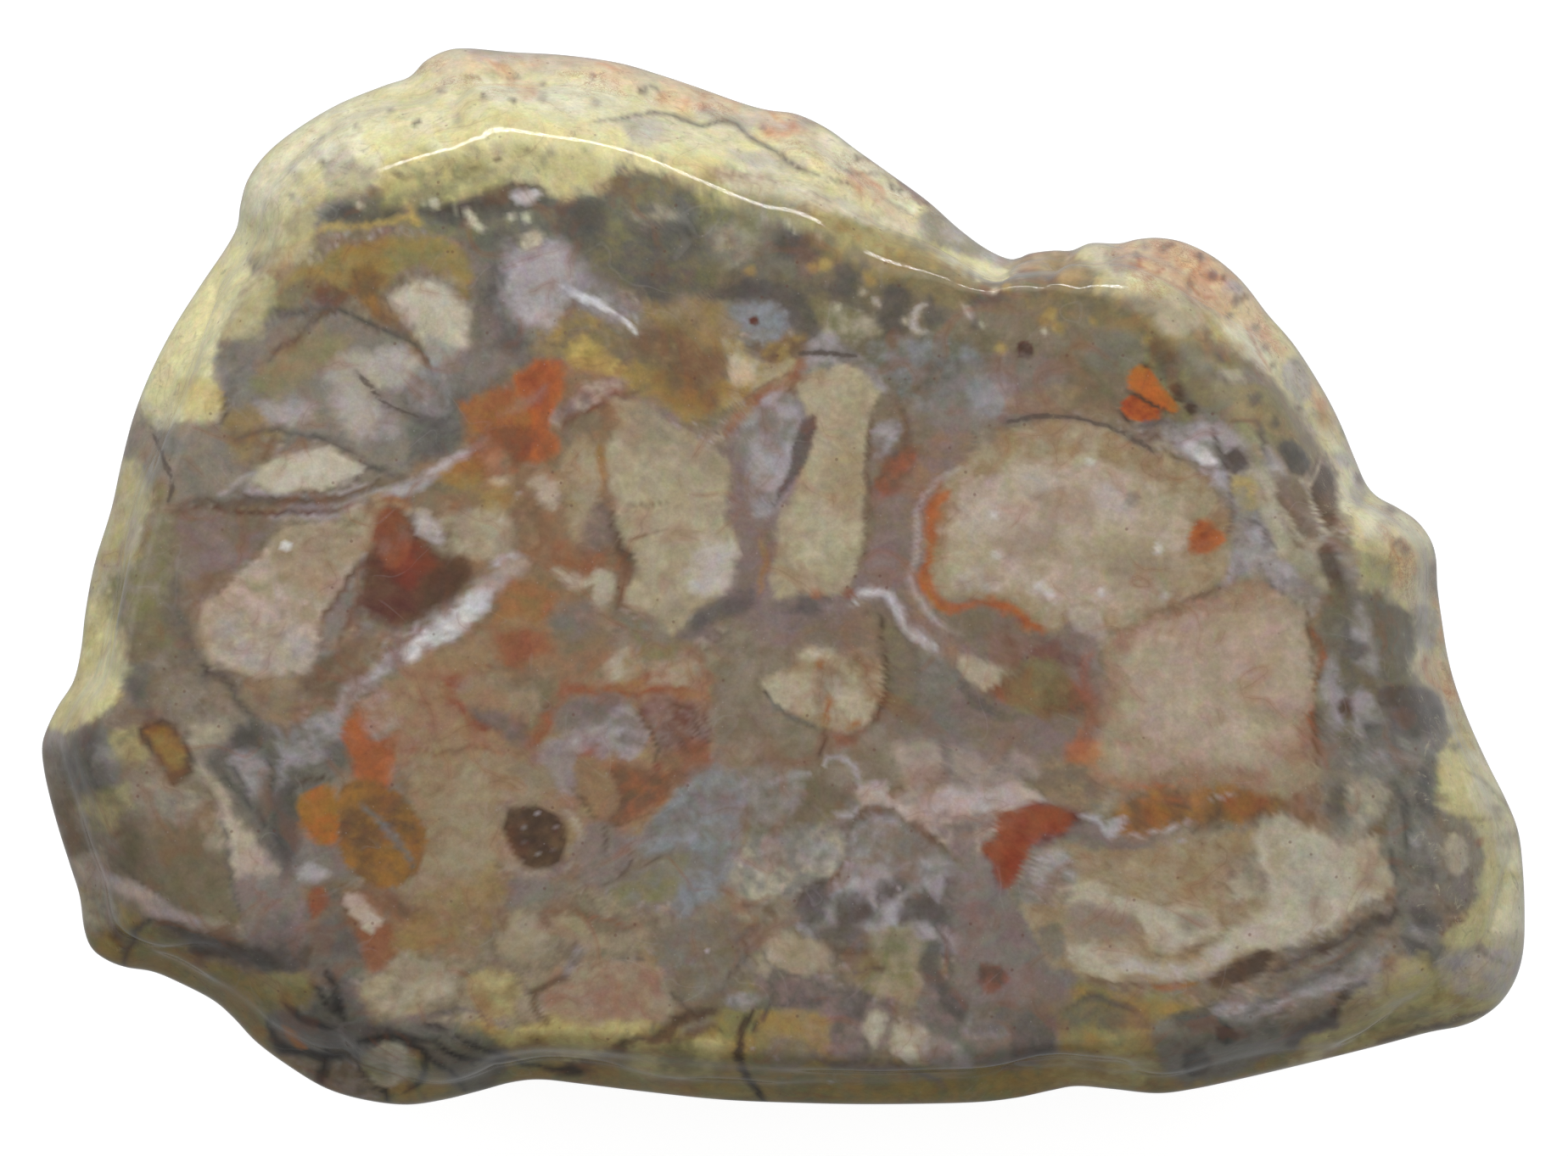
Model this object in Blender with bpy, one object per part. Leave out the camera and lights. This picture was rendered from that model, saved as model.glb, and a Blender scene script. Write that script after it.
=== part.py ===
# Coprolite: one half of an agatised nodule, ground flat and polished on the cut, with its knobbly
# natural rind left on the sides and the back. It lies on its back with the polished face up.
#
# Metres, +Z up, +X along the length of the stone. The origin is on the surface the stone rests on,
# under the middle of its box.

import math
import random

import bmesh
import bpy
from mathutils import Vector, noise

MM = 0.001

# Heights above the surface that the stone rests on
FACE_HEIGHT = 30.0 * MM       # crown of the polished face
FACE_CROWN = 1.4 * MM         # how far the face has dropped where it reaches the rim
FACE_SWELL = 0.3 * MM         # depth of the soft waves that hand polishing leaves
FACE_SWELL_LENGTH = 14.0 * MM

# Half of the stone's length and width, seen from above
HALF_LENGTH = 50.0 * MM
HALF_WIDTH = 36.0 * MM

# The small flat on the back that the stone rests on
REST_CENTRE = (0.6 * MM, -3.0 * MM)
REST_HALF_LENGTH = 14.0 * MM
REST_HALF_WIDTH = 10.0 * MM

# Form of the back and the sides
BACK_FULLNESS = 1.95          # 2 would be an ellipse, less is a shallower dish
RIND_STARTS = math.radians(50)  # turn below the widest line where the relief is at full depth
KNOB_SPREAD = 0.075           # share of the way round over which the outline's knobs are averaged out
FACE_SOFTNESS = 0.65          # how far they have faded out where the face starts
BACK_SOFT_BELOW = 0.6         # share of the way out, on the back, below which no knob is left
BACK_BULGE = 2.0 * MM         # how far the averaged back may stand out past a notch in the outline

# Relief of the natural rind, carved into the smooth form
HOLLOW_MIDDLE = 0.5           # mean depth between the lumps, as a share of their full depth
HOLLOW_SWING = 0.6            # how far the depth swings round that mean
LUMP_DEPTH = 4.0 * MM
LUMP_LENGTH = 12.0 * MM
KNUCKLE_DEPTH = 2.2 * MM
KNUCKLE_LENGTH = 6.5 * MM
KNUCKLE_SHIFT = Vector((7, 3, 1))   # moves the knuckles' pattern off the lumps'
GROOVE_DEPTH = 1.4 * MM
GROOVE_LENGTH = 19.0 * MM
GROOVE_SHARPNESS = 5.0
GROOVE_SHIFT = Vector((2, 9, 4))
PIT_COUNT = 64
PIT_SPREAD = (44.0 * MM, 31.0 * MM)  # how far from the middle the pits lie, along X and Y
PIT_TOP = 0.6 * FACE_HEIGHT
PIT_RADII = (2.2 * MM, 4.4 * MM)
PIT_DEPTH_SHARE = 0.4
PIT_SEED = 11
SHOULDER_RELIEF = 0.4         # share of that relief left on the ground-down shoulder
SHOULDER_FADE_IN = 3.0        # steepness with which it comes in above the widest line
SHOULDER_FADE_OUT = 2.0       # and goes out below the face
REST_FADE = 1.5               # steepness with which the relief goes out round the resting flat

# Two small round beads on the rim, beside the notch: centre, radius and height
BEADS = (
    (Vector((17.4, 21.2, 22.0)) * MM, 2.3 * MM, 0.8 * MM),
    (Vector((21.5, 21.9, 20.5)) * MM, 1.9 * MM, 0.6 * MM),
)

# Facets
OUTLINE_STEPS = 8             # steps of the smooth curve between two points of the outline
SIDES = 176                   # points round the rim
SHOULDER_RINGS = 8            # rings from the widest line up to the edge of the face
BACK_RINGS = 17               # rings from the widest line down to the resting flat
# Rings of the face and of the resting flat: share of the way out, and how much coarser than the rim
FACE_RINGS = ((0.94, 1), (0.87, 2), (0.78, 2), (0.68, 2), (0.57, 4), (0.45, 4), (0.32, 8), (0.19, 8),
              (0.08, 16))
BACK_COARSER_BEYOND = math.radians(66)  # turn below the widest line where every second point is dropped
REST_RINGS = ((0.75, 4), (0.4, 8))

# Outline at the widest line, in millimetres, clockwise from the knob at the upper left
OUTLINE_MM = (
    (-27.1, 33.1), (-25.4, 33.7), (-24.3, 34.8), (-22.9, 35.5), (-21.4, 35.65), (-18.5, 35.4), (-14.9, 35.2),
    (-11.3, 34.7), (-8.5, 33.9), (-5.8, 33.0), (-3.0, 32.0), (-1.2, 31.5), (0.8, 31.2), (2.9, 30.2),
    (4.8, 28.8), (6.9, 27.3), (9.6, 25.3), (11.7, 23.4), (13.6, 22.0), (15.3, 21.3), (16.5, 21.7),
    (18.1, 21.9), (19.3, 21.9), (20.6, 22.4), (22.5, 22.4), (23.8, 22.7), (25.3, 22.8), (27.0, 22.5),
    (28.9, 21.6), (30.4, 20.4), (31.4, 19.3), (32.6, 17.7), (34.4, 15.6), (36.2, 12.8), (37.4, 10.5),
    (38.5, 7.8), (39.2, 6.2), (40.0, 5.3), (41.3, 4.6), (42.6, 3.7), (43.5, 2.5), (43.9, 1.2),
    (44.0, -0.8), (44.3, -3.0), (44.7, -5.4), (45.3, -7.6), (46.3, -10.2), (47.5, -12.8), (48.7, -15.2),
    (49.5, -17.3), (49.8, -19.8), (49.9, -22.6), (49.8, -25.2), (49.3, -27.1), (48.3, -28.7), (46.9, -29.8),
    (45.4, -30.4), (43.3, -30.8), (39.5, -31.8), (35.4, -32.8), (31.0, -33.8), (27.6, -34.5), (25.0, -34.8),
    (22.0, -34.5), (19.6, -34.3), (17.8, -34.6), (15.4, -35.1), (12.3, -35.4), (6.0, -35.5), (0.5, -35.4),
    (-4.4, -35.2), (-9.4, -34.7), (-13.6, -34.2), (-16.4, -33.9), (-18.4, -34.1), (-20.6, -34.7),
    (-23.0, -35.3), (-25.5, -35.65), (-28.3, -35.35), (-30.9, -34.6), (-33.3, -33.2), (-35.6, -31.5),
    (-37.2, -29.8), (-38.6, -28.6), (-40.9, -27.4), (-42.6, -26.7), (-44.4, -26.4), (-45.7, -25.9),
    (-46.7, -25.1), (-47.2, -23.8), (-47.5, -21.6), (-48.1, -19.6), (-48.8, -17.3), (-49.4, -15.0),
    (-49.8, -13.0), (-49.9, -11.4), (-49.5, -10.1), (-48.8, -8.7), (-47.8, -7.1), (-47.3, -5.0),
    (-47.0, -2.4), (-46.4, 0.8), (-45.3, 4.4), (-44.6, 7.6), (-43.8, 10.7), (-42.7, 13.6), (-41.2, 16.6),
    (-39.4, 19.5), (-37.6, 22.2), (-36.9, 23.6), (-36.7, 25.0), (-36.2, 26.7), (-35.0, 28.4), (-33.1, 30.0),
    (-30.2, 31.8),
)

# Rim all round the stone, by the bearing in degrees from +X: the width of the rounded shoulder
# between the widest line and the face, and the height of the widest line, both in millimetres
RIM_MM = (
    (0, 7.0, 16.0), (22, 7.5, 14.5), (36, 6.5, 14.0), (50, 4.8, 17.0), (60, 5.5, 16.5), (78, 8.0, 14.5),
    (100, 9.0, 13.5), (122, 8.0, 14.0), (146, 6.0, 16.5), (172, 4.5, 18.5), (192, 4.5, 19.0),
    (205, 6.5, 17.0), (225, 7.0, 16.0), (245, 5.0, 18.5), (275, 4.2, 20.0), (300, 4.6, 19.5),
    (322, 6.0, 17.0), (342, 7.5, 15.0),
)


def lerp(a, b, share):
    return a + (b - a) * share


def ease(share):
    share = min(1.0, max(0.0, share))
    return share * share * (3 - 2 * share)


def closed_curve(points, steps):
    """Points along the smooth closed curve that passes through the given ones."""
    count = len(points)
    curve = []
    for i in range(count):
        before, start, end, after = (Vector(points[(i + k) % count]) for k in (-1, 0, 1, 2))
        for step in range(steps):
            t = step / steps
            curve.append(0.5 * (
                2 * start
                + (end - before) * t
                + (2 * before - 5 * start + 4 * end - after) * t ** 2
                + (3 * start - before - 3 * end + after) * t ** 3
            ))
    return curve


def even_points(curve, count):
    """Points spaced evenly along a closed curve, counter-clockwise."""
    loop = list(reversed(curve))
    loop.append(loop[0])
    lengths = [0.0]
    for a, b in zip(loop, loop[1:]):
        lengths.append(lengths[-1] + (b - a).length)
    points = []
    segment = 0
    for i in range(count):
        wanted = lengths[-1] * i / count
        while lengths[segment + 1] < wanted:
            segment += 1
        share = (wanted - lengths[segment]) / (lengths[segment + 1] - lengths[segment])
        points.append(loop[segment].lerp(loop[segment + 1], share))
    return points


def rim_rays(count):
    """Bearing, radius and radius without the knobs, for points spaced evenly round the rim."""
    outline = [(x * MM, y * MM) for x, y in OUTLINE_MM]
    points = even_points(closed_curve(outline, OUTLINE_STEPS), count)
    reach = max(1, round(KNOB_SPREAD * count))
    weights = [1 + math.cos(math.pi * k / (reach + 1)) for k in range(-reach, reach + 1)]
    rays = []
    for i, point in enumerate(points):
        near = [points[(i + k) % count].length for k in range(-reach, reach + 1)]
        soft = sum(w * r for w, r in zip(weights, near)) / sum(weights)
        rays.append((math.atan2(point.y, point.x), point.length, soft))
    return rays


def rim_values(bearing):
    """Shoulder width and girth height at a bearing, from the table round the stone."""
    degrees = math.degrees(bearing) % 360
    first = RIM_MM[0]
    table = RIM_MM + ((first[0] + 360, first[1], first[2]),)
    for (low, width_low, girth_low), (high, width_high, girth_high) in zip(table, table[1:]):
        if degrees <= high:
            share = ease((degrees - low) / (high - low))
            return lerp(width_low, width_high, share) * MM, lerp(girth_low, girth_high, share) * MM


def face_height(x, y):
    """Height of the polished face: a low crown with soft waves."""
    crown = FACE_CROWN * ((x / HALF_LENGTH) ** 2 + (y / HALF_WIDTH) ** 2)
    swell = FACE_SWELL * noise.noise(Vector((x, y, 0)) / FACE_SWELL_LENGTH)
    return FACE_HEIGHT - crown + swell


def rind_pits():
    """Centre, radius and depth of the pits in the sides and the back."""
    draw = random.Random(PIT_SEED)
    pits = []
    while len(pits) < PIT_COUNT:
        x = draw.uniform(-PIT_SPREAD[0], PIT_SPREAD[0])
        y = draw.uniform(-PIT_SPREAD[1], PIT_SPREAD[1])
        z = draw.uniform(0, PIT_TOP)
        radius = draw.uniform(*PIT_RADII)
        pits.append((Vector((x, y, z)), radius, radius * PIT_DEPTH_SHARE))
    return pits


def hollows(place):
    """Share of full depth at a place of the noise that the lumps of the rind stand in."""
    return max(0.0, HOLLOW_MIDDLE - HOLLOW_SWING * noise.noise(place))


def rind_carving(point, pits):
    """Depth of the hollows between the lumps and knuckles of the rind, and of its grooves and pits."""
    lumps = LUMP_DEPTH * hollows(point / LUMP_LENGTH)
    knuckles = KNUCKLE_DEPTH * hollows(point / KNUCKLE_LENGTH + KNUCKLE_SHIFT)
    crease = abs(noise.noise(point / GROOVE_LENGTH + GROOVE_SHIFT))
    groove = GROOVE_DEPTH * max(0.0, 1 - GROOVE_SHARPNESS * crease) ** 2
    hollow = 0.0
    for centre, radius, depth in pits:
        reach = (point - centre).length / radius
        if reach < 1:
            hollow = max(hollow, depth * (1 - reach * reach) ** 2)
    return lumps + knuckles + groove + hollow


def bead_height(point):
    """Height of the two small beads on the rim."""
    height = 0.0
    for centre, radius, top in BEADS:
        reach = (point - centre).length / radius
        if reach < 1:
            height = max(height, top * (1 - reach * reach))
    return height


def add_ring(mesh, points):
    return [mesh.verts.new(point) for point in points]


def bridge(mesh, outer, inner):
    """Triangles between two rings, where the outer one has as many points or a multiple."""
    ratio = len(outer) // len(inner)
    middle = ratio // 2
    for i, here in enumerate(inner):
        there = inner[(i + 1) % len(inner)]
        run = [outer[(i * ratio + k) % len(outer)] for k in range(ratio + 1)]
        for k in range(middle):
            mesh.faces.new((here, run[k], run[k + 1]))
        mesh.faces.new((here, run[middle], there))
        for k in range(middle, ratio):
            mesh.faces.new((there, run[k], run[k + 1]))


def fan(mesh, ring, point):
    middle = mesh.verts.new(point)
    for i, vert in enumerate(ring):
        mesh.faces.new((middle, vert, ring[(i + 1) % len(ring)]))


def face_edge(ray):
    """Distance from the middle to where the face starts to round over."""
    bearing, radius, soft = ray
    return lerp(radius, soft, FACE_SOFTNESS) - rim_values(bearing)[0]


def shoulder_point(ray, lift, pits):
    """Point on the rounded shoulder; lift goes from 0 at the widest line to 1 at the face."""
    bearing, radius, _ = ray
    turn = lift * math.pi / 2
    reach = lerp(radius, face_edge(ray), 1 - math.cos(turn))
    x, y = reach * math.cos(bearing), reach * math.sin(bearing)
    base = Vector((x, y, lerp(rim_values(bearing)[1], face_height(x, y), math.sin(turn))))
    outward = Vector((math.cos(bearing) * math.cos(turn), math.sin(bearing) * math.cos(turn), math.sin(turn)))
    fade = ease(SHOULDER_FADE_IN * lift) * ease(SHOULDER_FADE_OUT * (1 - lift))
    return base + outward * (bead_height(base) - SHOULDER_RELIEF * fade * rind_carving(base, pits))


def face_point(ray, share):
    """Point on the polished face; share goes from 0 in the middle to 1 at its edge."""
    reach = face_edge(ray) * share
    x, y = reach * math.cos(ray[0]), reach * math.sin(ray[0])
    return Vector((x, y, face_height(x, y)))


def rest_point(bearing, share):
    """Point on the resting flat; share goes from 0 in the middle to 1 at its edge."""
    x = REST_CENTRE[0] + REST_HALF_LENGTH * share * math.cos(bearing)
    y = REST_CENTRE[1] + REST_HALF_WIDTH * share * math.sin(bearing)
    return Vector((x, y, 0))


def back_point(ray, turn, pits):
    """Point on the back; turn goes from 0 at the widest line to a right angle at the resting flat."""
    bearing, radius, soft = ray
    girth = rim_values(bearing)[1]
    share = max(0.0, math.cos(turn)) ** (2 / BACK_FULLNESS)
    knobs = ease((share - BACK_SOFT_BELOW) / (1 - BACK_SOFT_BELOW))
    reach = lerp(min(soft, radius + BACK_BULGE), radius, knobs)
    rim = Vector((reach * math.cos(bearing), reach * math.sin(bearing), 0))
    spot = rest_point(bearing, 1)
    base = spot.lerp(rim, share)
    base.z = girth * (1 - math.sin(turn) ** (2 / BACK_FULLNESS))
    side = (rim - spot).normalized() * math.cos(turn) / (rim - spot).length
    inward = -(side + Vector((0, 0, -math.sin(turn) / girth))).normalized()
    fade = ease(turn / RIND_STARTS) * ease(REST_FADE * share)
    return base + inward * fade * rind_carving(base, pits)


def build_stone():
    """The whole stone as one closed mesh of rings, from the face down over the rim to the flat."""
    rays = rim_rays(SIDES)
    pits = rind_pits()
    mesh = bmesh.new()

    girth = add_ring(mesh, [shoulder_point(ray, 0, pits) for ray in rays])
    ring = girth
    for i in range(1, SHOULDER_RINGS + 1):
        upper = add_ring(mesh, [shoulder_point(ray, i / SHOULDER_RINGS, pits) for ray in rays])
        bridge(mesh, ring, upper)
        ring = upper
    for share, coarser in FACE_RINGS:
        inner = add_ring(mesh, [face_point(ray, share) for ray in rays[::coarser]])
        bridge(mesh, ring, inner)
        ring = inner
    fan(mesh, ring, (0, 0, face_height(0, 0)))

    ring = girth
    for i in range(1, BACK_RINGS + 1):
        turn = math.pi / 2 * i / BACK_RINGS
        coarser = 1 if turn < BACK_COARSER_BEYOND else 2
        lower = add_ring(mesh, [back_point(ray, turn, pits) for ray in rays[::coarser]])
        bridge(mesh, ring, lower)
        ring = lower
    for share, coarser in REST_RINGS:
        inner = add_ring(mesh, [rest_point(ray[0], share) for ray in rays[::coarser]])
        bridge(mesh, ring, inner)
        ring = inner
    fan(mesh, ring, (REST_CENTRE[0], REST_CENTRE[1], 0))

    bmesh.ops.recalc_face_normals(mesh, faces=mesh.faces)
    return mesh


def centre_on_origin(mesh):
    """Slides the stone so that the middle of its box is over the origin."""
    for axis in (0, 1):
        places = [vert.co[axis] for vert in mesh.verts]
        middle = (min(places) + max(places)) / 2
        for vert in mesh.verts:
            vert.co[axis] -= middle


def polished_agate():
    """Glossy brown-grey agate, the mean colour of the stone."""
    material = bpy.data.materials.new("polished_agate")
    material.use_nodes = True
    shader = material.node_tree.nodes["Principled BSDF"]
    shader.inputs["Base Color"].default_value = (0.32, 0.25, 0.18, 1)
    shader.inputs["Roughness"].default_value = 0.18
    shader.inputs["Metallic"].default_value = 0.0
    return material


def main():
    for item in list(bpy.data.objects):
        bpy.data.objects.remove(item, do_unlink=True)
    stone = build_stone()
    centre_on_origin(stone)
    shape = bpy.data.meshes.new("coprolite")
    stone.to_mesh(shape)
    stone.free()
    shape.shade_smooth()
    shape.materials.append(polished_agate())
    coprolite = bpy.data.objects.new("coprolite", shape)
    bpy.context.scene.collection.objects.link(coprolite)


main()
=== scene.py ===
# Looks of the coprolite: one half of an agatised nodule with a polished face, seen from above.
# The stone's skin is modelled again, finer than the CAD solid and of the same form, and its clasts,
# veins, chips and rind are painted on it by listed marks. Lengths are in millimetres until the
# mesh is made.

import math
import random

import bpy
import numpy as np
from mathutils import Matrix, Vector, noise


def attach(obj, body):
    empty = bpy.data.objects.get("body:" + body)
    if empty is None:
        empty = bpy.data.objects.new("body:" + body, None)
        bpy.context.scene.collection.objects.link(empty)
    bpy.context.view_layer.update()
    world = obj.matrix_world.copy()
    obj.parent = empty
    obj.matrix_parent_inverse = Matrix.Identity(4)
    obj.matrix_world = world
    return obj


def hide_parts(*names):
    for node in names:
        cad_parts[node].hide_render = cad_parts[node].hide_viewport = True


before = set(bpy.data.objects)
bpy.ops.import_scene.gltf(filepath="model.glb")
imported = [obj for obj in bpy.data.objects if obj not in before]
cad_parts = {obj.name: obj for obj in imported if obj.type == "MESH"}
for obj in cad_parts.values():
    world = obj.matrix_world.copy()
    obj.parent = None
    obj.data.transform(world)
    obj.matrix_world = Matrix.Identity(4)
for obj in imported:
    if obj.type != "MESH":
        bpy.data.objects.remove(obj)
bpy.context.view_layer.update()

MM = 0.001

# The photograph's frame: pixels, pixels per millimetre at the stone's widest line, and the pixel
# that lies over the stone's origin
FRAME_PIXELS = (1848, 1363)
PIXELS_PER_MM = 17.5
ORIGIN_PIXEL = (925, 678.5)
WIDEST_LINE_HEIGHT = 17.0
CAMERA_DISTANCE = 800.0

# Form of the stone, as the solid has it
FACE_HEIGHT = 30.0
FACE_CROWN = 1.4
FACE_SWELL = 0.3
FACE_SWELL_LENGTH = 14.0
FACE_HALF_SIZE = (50.0, 36.0)
REST_CENTRE = (0.6, -3.0)
REST_HALF_SIZE = (14.0, 10.0)
BACK_FULLNESS = 1.95
RIND_STARTS = math.radians(50)
KNOB_SPREAD = 0.075
FACE_SOFTNESS = 0.65
LUMP_DEPTH, LUMP_LENGTH = 4.0, 12.0
KNUCKLE_DEPTH, KNUCKLE_LENGTH = 2.2, 6.5
GROOVE_DEPTH, GROOVE_LENGTH, GROOVE_SHARPNESS = 1.4, 19.0, 5.0
PIT_COUNT, PIT_RADII, PIT_DEPTH_SHARE, PIT_SEED = 64, (2.2, 4.4), 0.4, 11
SHOULDER_RELIEF = 0.4
BEADS = (((17.4, 21.2, 22.0), 2.3, 0.8), ((21.5, 21.9, 20.5), 1.9, 0.6))

# Outline at the widest line, clockwise from the knob at the upper left
OUTLINE = (
    (-27.1, 33.1), (-25.4, 33.7), (-24.3, 34.8), (-22.9, 35.5), (-21.4, 35.65), (-18.5, 35.4), (-14.9, 35.2),
    (-11.3, 34.7), (-8.5, 33.9), (-5.8, 33.0), (-3.0, 32.0), (-1.2, 31.5), (0.8, 31.2), (2.9, 30.2),
    (4.8, 28.8), (6.9, 27.3), (9.6, 25.3), (11.7, 23.4), (13.6, 22.0), (15.3, 21.3), (16.5, 21.7),
    (18.1, 21.9), (19.3, 21.9), (20.6, 22.4), (22.5, 22.4), (23.8, 22.7), (25.3, 22.8), (27.0, 22.5),
    (28.9, 21.6), (30.4, 20.4), (31.4, 19.3), (32.6, 17.7), (34.4, 15.6), (36.2, 12.8), (37.4, 10.5),
    (38.5, 7.8), (39.2, 6.2), (40.0, 5.3), (41.3, 4.6), (42.6, 3.7), (43.5, 2.5), (43.9, 1.2),
    (44.0, -0.8), (44.3, -3.0), (44.7, -5.4), (45.3, -7.6), (46.3, -10.2), (47.5, -12.8), (48.7, -15.2),
    (49.5, -17.3), (49.8, -19.8), (49.9, -22.6), (49.8, -25.2), (49.3, -27.1), (48.3, -28.7), (46.9, -29.8),
    (45.4, -30.4), (43.3, -30.8), (39.5, -31.8), (35.4, -32.8), (31.0, -33.8), (27.6, -34.5), (25.0, -34.8),
    (22.0, -34.5), (19.6, -34.3), (17.8, -34.6), (15.4, -35.1), (12.3, -35.4), (6.0, -35.5), (0.5, -35.4),
    (-4.4, -35.2), (-9.4, -34.7), (-13.6, -34.2), (-16.4, -33.9), (-18.4, -34.1), (-20.6, -34.7),
    (-23.0, -35.3), (-25.5, -35.65), (-28.3, -35.35), (-30.9, -34.6), (-33.3, -33.2), (-35.6, -31.5),
    (-37.2, -29.8), (-38.6, -28.6), (-40.9, -27.4), (-42.6, -26.7), (-44.4, -26.4), (-45.7, -25.9),
    (-46.7, -25.1), (-47.2, -23.8), (-47.5, -21.6), (-48.1, -19.6), (-48.8, -17.3), (-49.4, -15.0),
    (-49.8, -13.0), (-49.9, -11.4), (-49.5, -10.1), (-48.8, -8.7), (-47.8, -7.1), (-47.3, -5.0),
    (-47.0, -2.4), (-46.4, 0.8), (-45.3, 4.4), (-44.6, 7.6), (-43.8, 10.7), (-42.7, 13.6), (-41.2, 16.6),
    (-39.4, 19.5), (-37.6, 22.2), (-36.9, 23.6), (-36.7, 25.0), (-36.2, 26.7), (-35.0, 28.4), (-33.1, 30.0),
    (-30.2, 31.8),
)

# Rim all round the stone, by the bearing in degrees from +X: the width of the rounded shoulder
# between the widest line and the face, and the height of the widest line
RIM = (
    (0, 7.0, 16.0), (22, 7.5, 14.5), (36, 6.5, 14.0), (50, 4.8, 17.0), (60, 5.5, 16.5), (78, 8.0, 14.5),
    (100, 9.0, 13.5), (122, 8.0, 14.0), (146, 6.0, 16.5), (172, 4.5, 18.5), (192, 4.5, 19.0),
    (205, 6.5, 17.0), (225, 7.0, 16.0), (245, 5.0, 18.5), (275, 4.2, 20.0), (300, 4.6, 19.5),
    (322, 6.0, 17.0), (342, 7.5, 15.0),
)

# Fineness of the skin
GRAIN_SPACING = 0.31          # between points on the polished face
FACE_RING_COUNT = 122
SHOULDER_RING_COUNT = 34
BACK_RING_COUNT = 44
BACK_SPACING = 0.85
REST_RINGS = (0.9, 0.78, 0.64, 0.48, 0.3, 0.12)

# Gloss of the polished stone
AGATE_IOR = 1.54
AGATE_SHINE = 0.32
BUMP_STRENGTH = 0.10
BUMP_DISTANCE = 0.00012       # metres

# Light: a white tent seen by direction, two thin strips beyond the top of the photograph, and the floor
TENT_GLOW = 1.20
TENT_SLANT = 0.28             # how much brighter the tent is beyond the top of the photograph
TENT_LOW = 0.40               # its light at the horizon
TENT_HORIZON = (0.0, 0.75)    # heights between which the wall comes up to its full light
TENT_OPENING = (0.78, 0.99)   # heights between which it gives way to the dim opening
TENT_DIM = 0.75
TENT_FOOT = 0.48              # how much darker it is below the foot of the photograph
STRIP_POWER = 1.5
STRIP_SIZE = (0.62, 0.007)
STRIP_DISTANCE = 0.65
STRIP_HEIGHTS = (("high_strip", 0.25), ("low_strip", 0.19))
FLOOR_GREY = (0.35, 0.35, 0.35)
FLOOR_GLOW = 0.85
FLOOR_HALF = 3.0
FLOOR_DROP = 0.0002           # keeps the floor from fighting with the resting flat


def ease(share):
    share = np.clip(share, 0.0, 1.0)
    return share * share * (3 - 2 * share)


def lerp(a, b, share):
    return a + (b - a) * share


def smooth_curve(points, closed=True, steps=6):
    """Points along the smooth curve that passes through the given ones."""
    points = np.asarray(points, float)
    if closed:
        before, after, last = np.roll(points, 1, 0), np.roll(points, -1, 0), np.roll(points, -2, 0)
    else:
        ends = np.vstack([2 * points[0] - points[1], points, 2 * points[-1] - points[-2]])
        before, points, after, last = ends[:-3], ends[1:-2], ends[2:-1], ends[3:]
    curve = []
    for t in np.arange(steps) / steps:
        curve.append(0.5 * (
            2 * points
            + (after - before) * t
            + (2 * before - 5 * points + 4 * after - last) * t ** 2
            + (3 * points - before - 3 * after + last) * t ** 3
        ))
    line = np.stack(curve, 1).reshape(-1, points.shape[1])
    return line if closed else np.vstack([line, after[-1]])


class Rim:
    """The stone's rim: bearing, radii, shoulder width and girth height at any share of the way round."""

    def __init__(self, count=2112):
        loop = smooth_curve(OUTLINE, steps=8)[::-1]
        loop = np.vstack([loop, loop[:1]])
        lengths = np.concatenate([[0], np.cumsum(np.linalg.norm(np.diff(loop, axis=0), axis=1))])
        wanted = lengths[-1] * np.arange(count) / count
        x, y = (np.interp(wanted, lengths, loop[:, k]) for k in (0, 1))
        radius = np.hypot(x, y)
        reach = round(KNOB_SPREAD * count)
        weights = 1 + np.cos(np.pi * np.arange(-reach, reach + 1) / (reach + 1))
        padded = np.concatenate([radius[-reach:], radius, radius[:reach]])
        soft = np.convolve(padded, weights / weights.sum(), "valid")
        self.length = lengths[-1]
        self.share = np.arange(count + 1) / count
        self.bearings = np.unwrap(np.arctan2(y, x))
        self.bearings = np.append(self.bearings, self.bearings[0] + 2 * np.pi)
        self.radii = np.append(radius, radius[0])
        self.softs = np.append(soft, soft[0])

    def at(self, share):
        share = np.mod(share, 1.0)
        bearing = np.interp(share, self.share, self.bearings)
        radius = np.interp(share, self.share, self.radii)
        soft = np.interp(share, self.share, self.softs)
        width, girth = self.shoulder(bearing)
        return bearing, radius, soft, width, girth

    def shoulder(self, bearing):
        degrees = np.mod(np.degrees(bearing), 360)
        table = np.array(RIM + ((RIM[0][0] + 360, RIM[0][1], RIM[0][2]),))
        low = np.searchsorted(table[:, 0], degrees, "right") - 1
        low = np.clip(low, 0, len(table) - 2)
        share = ease((degrees - table[low, 0]) / (table[low + 1, 0] - table[low, 0]))
        return tuple(lerp(table[low, k], table[low + 1, k], share) for k in (1, 2))


def bulk_noise(points, length, shift=(0, 0, 0)):
    """Smooth noise of the solid's lumps, at points in space."""
    offset = Vector(shift)
    return np.array([noise.noise(Vector(point) / length + offset) for point in points.tolist()])


def face_heights(x, y):
    """Height of the polished face: a low crown with soft waves."""
    crown = FACE_CROWN * ((x / FACE_HALF_SIZE[0]) ** 2 + (y / FACE_HALF_SIZE[1]) ** 2)
    swell = FACE_SWELL * bulk_noise(np.stack([x, y, np.zeros_like(x)], 1), FACE_SWELL_LENGTH)
    return FACE_HEIGHT - crown + swell


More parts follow.
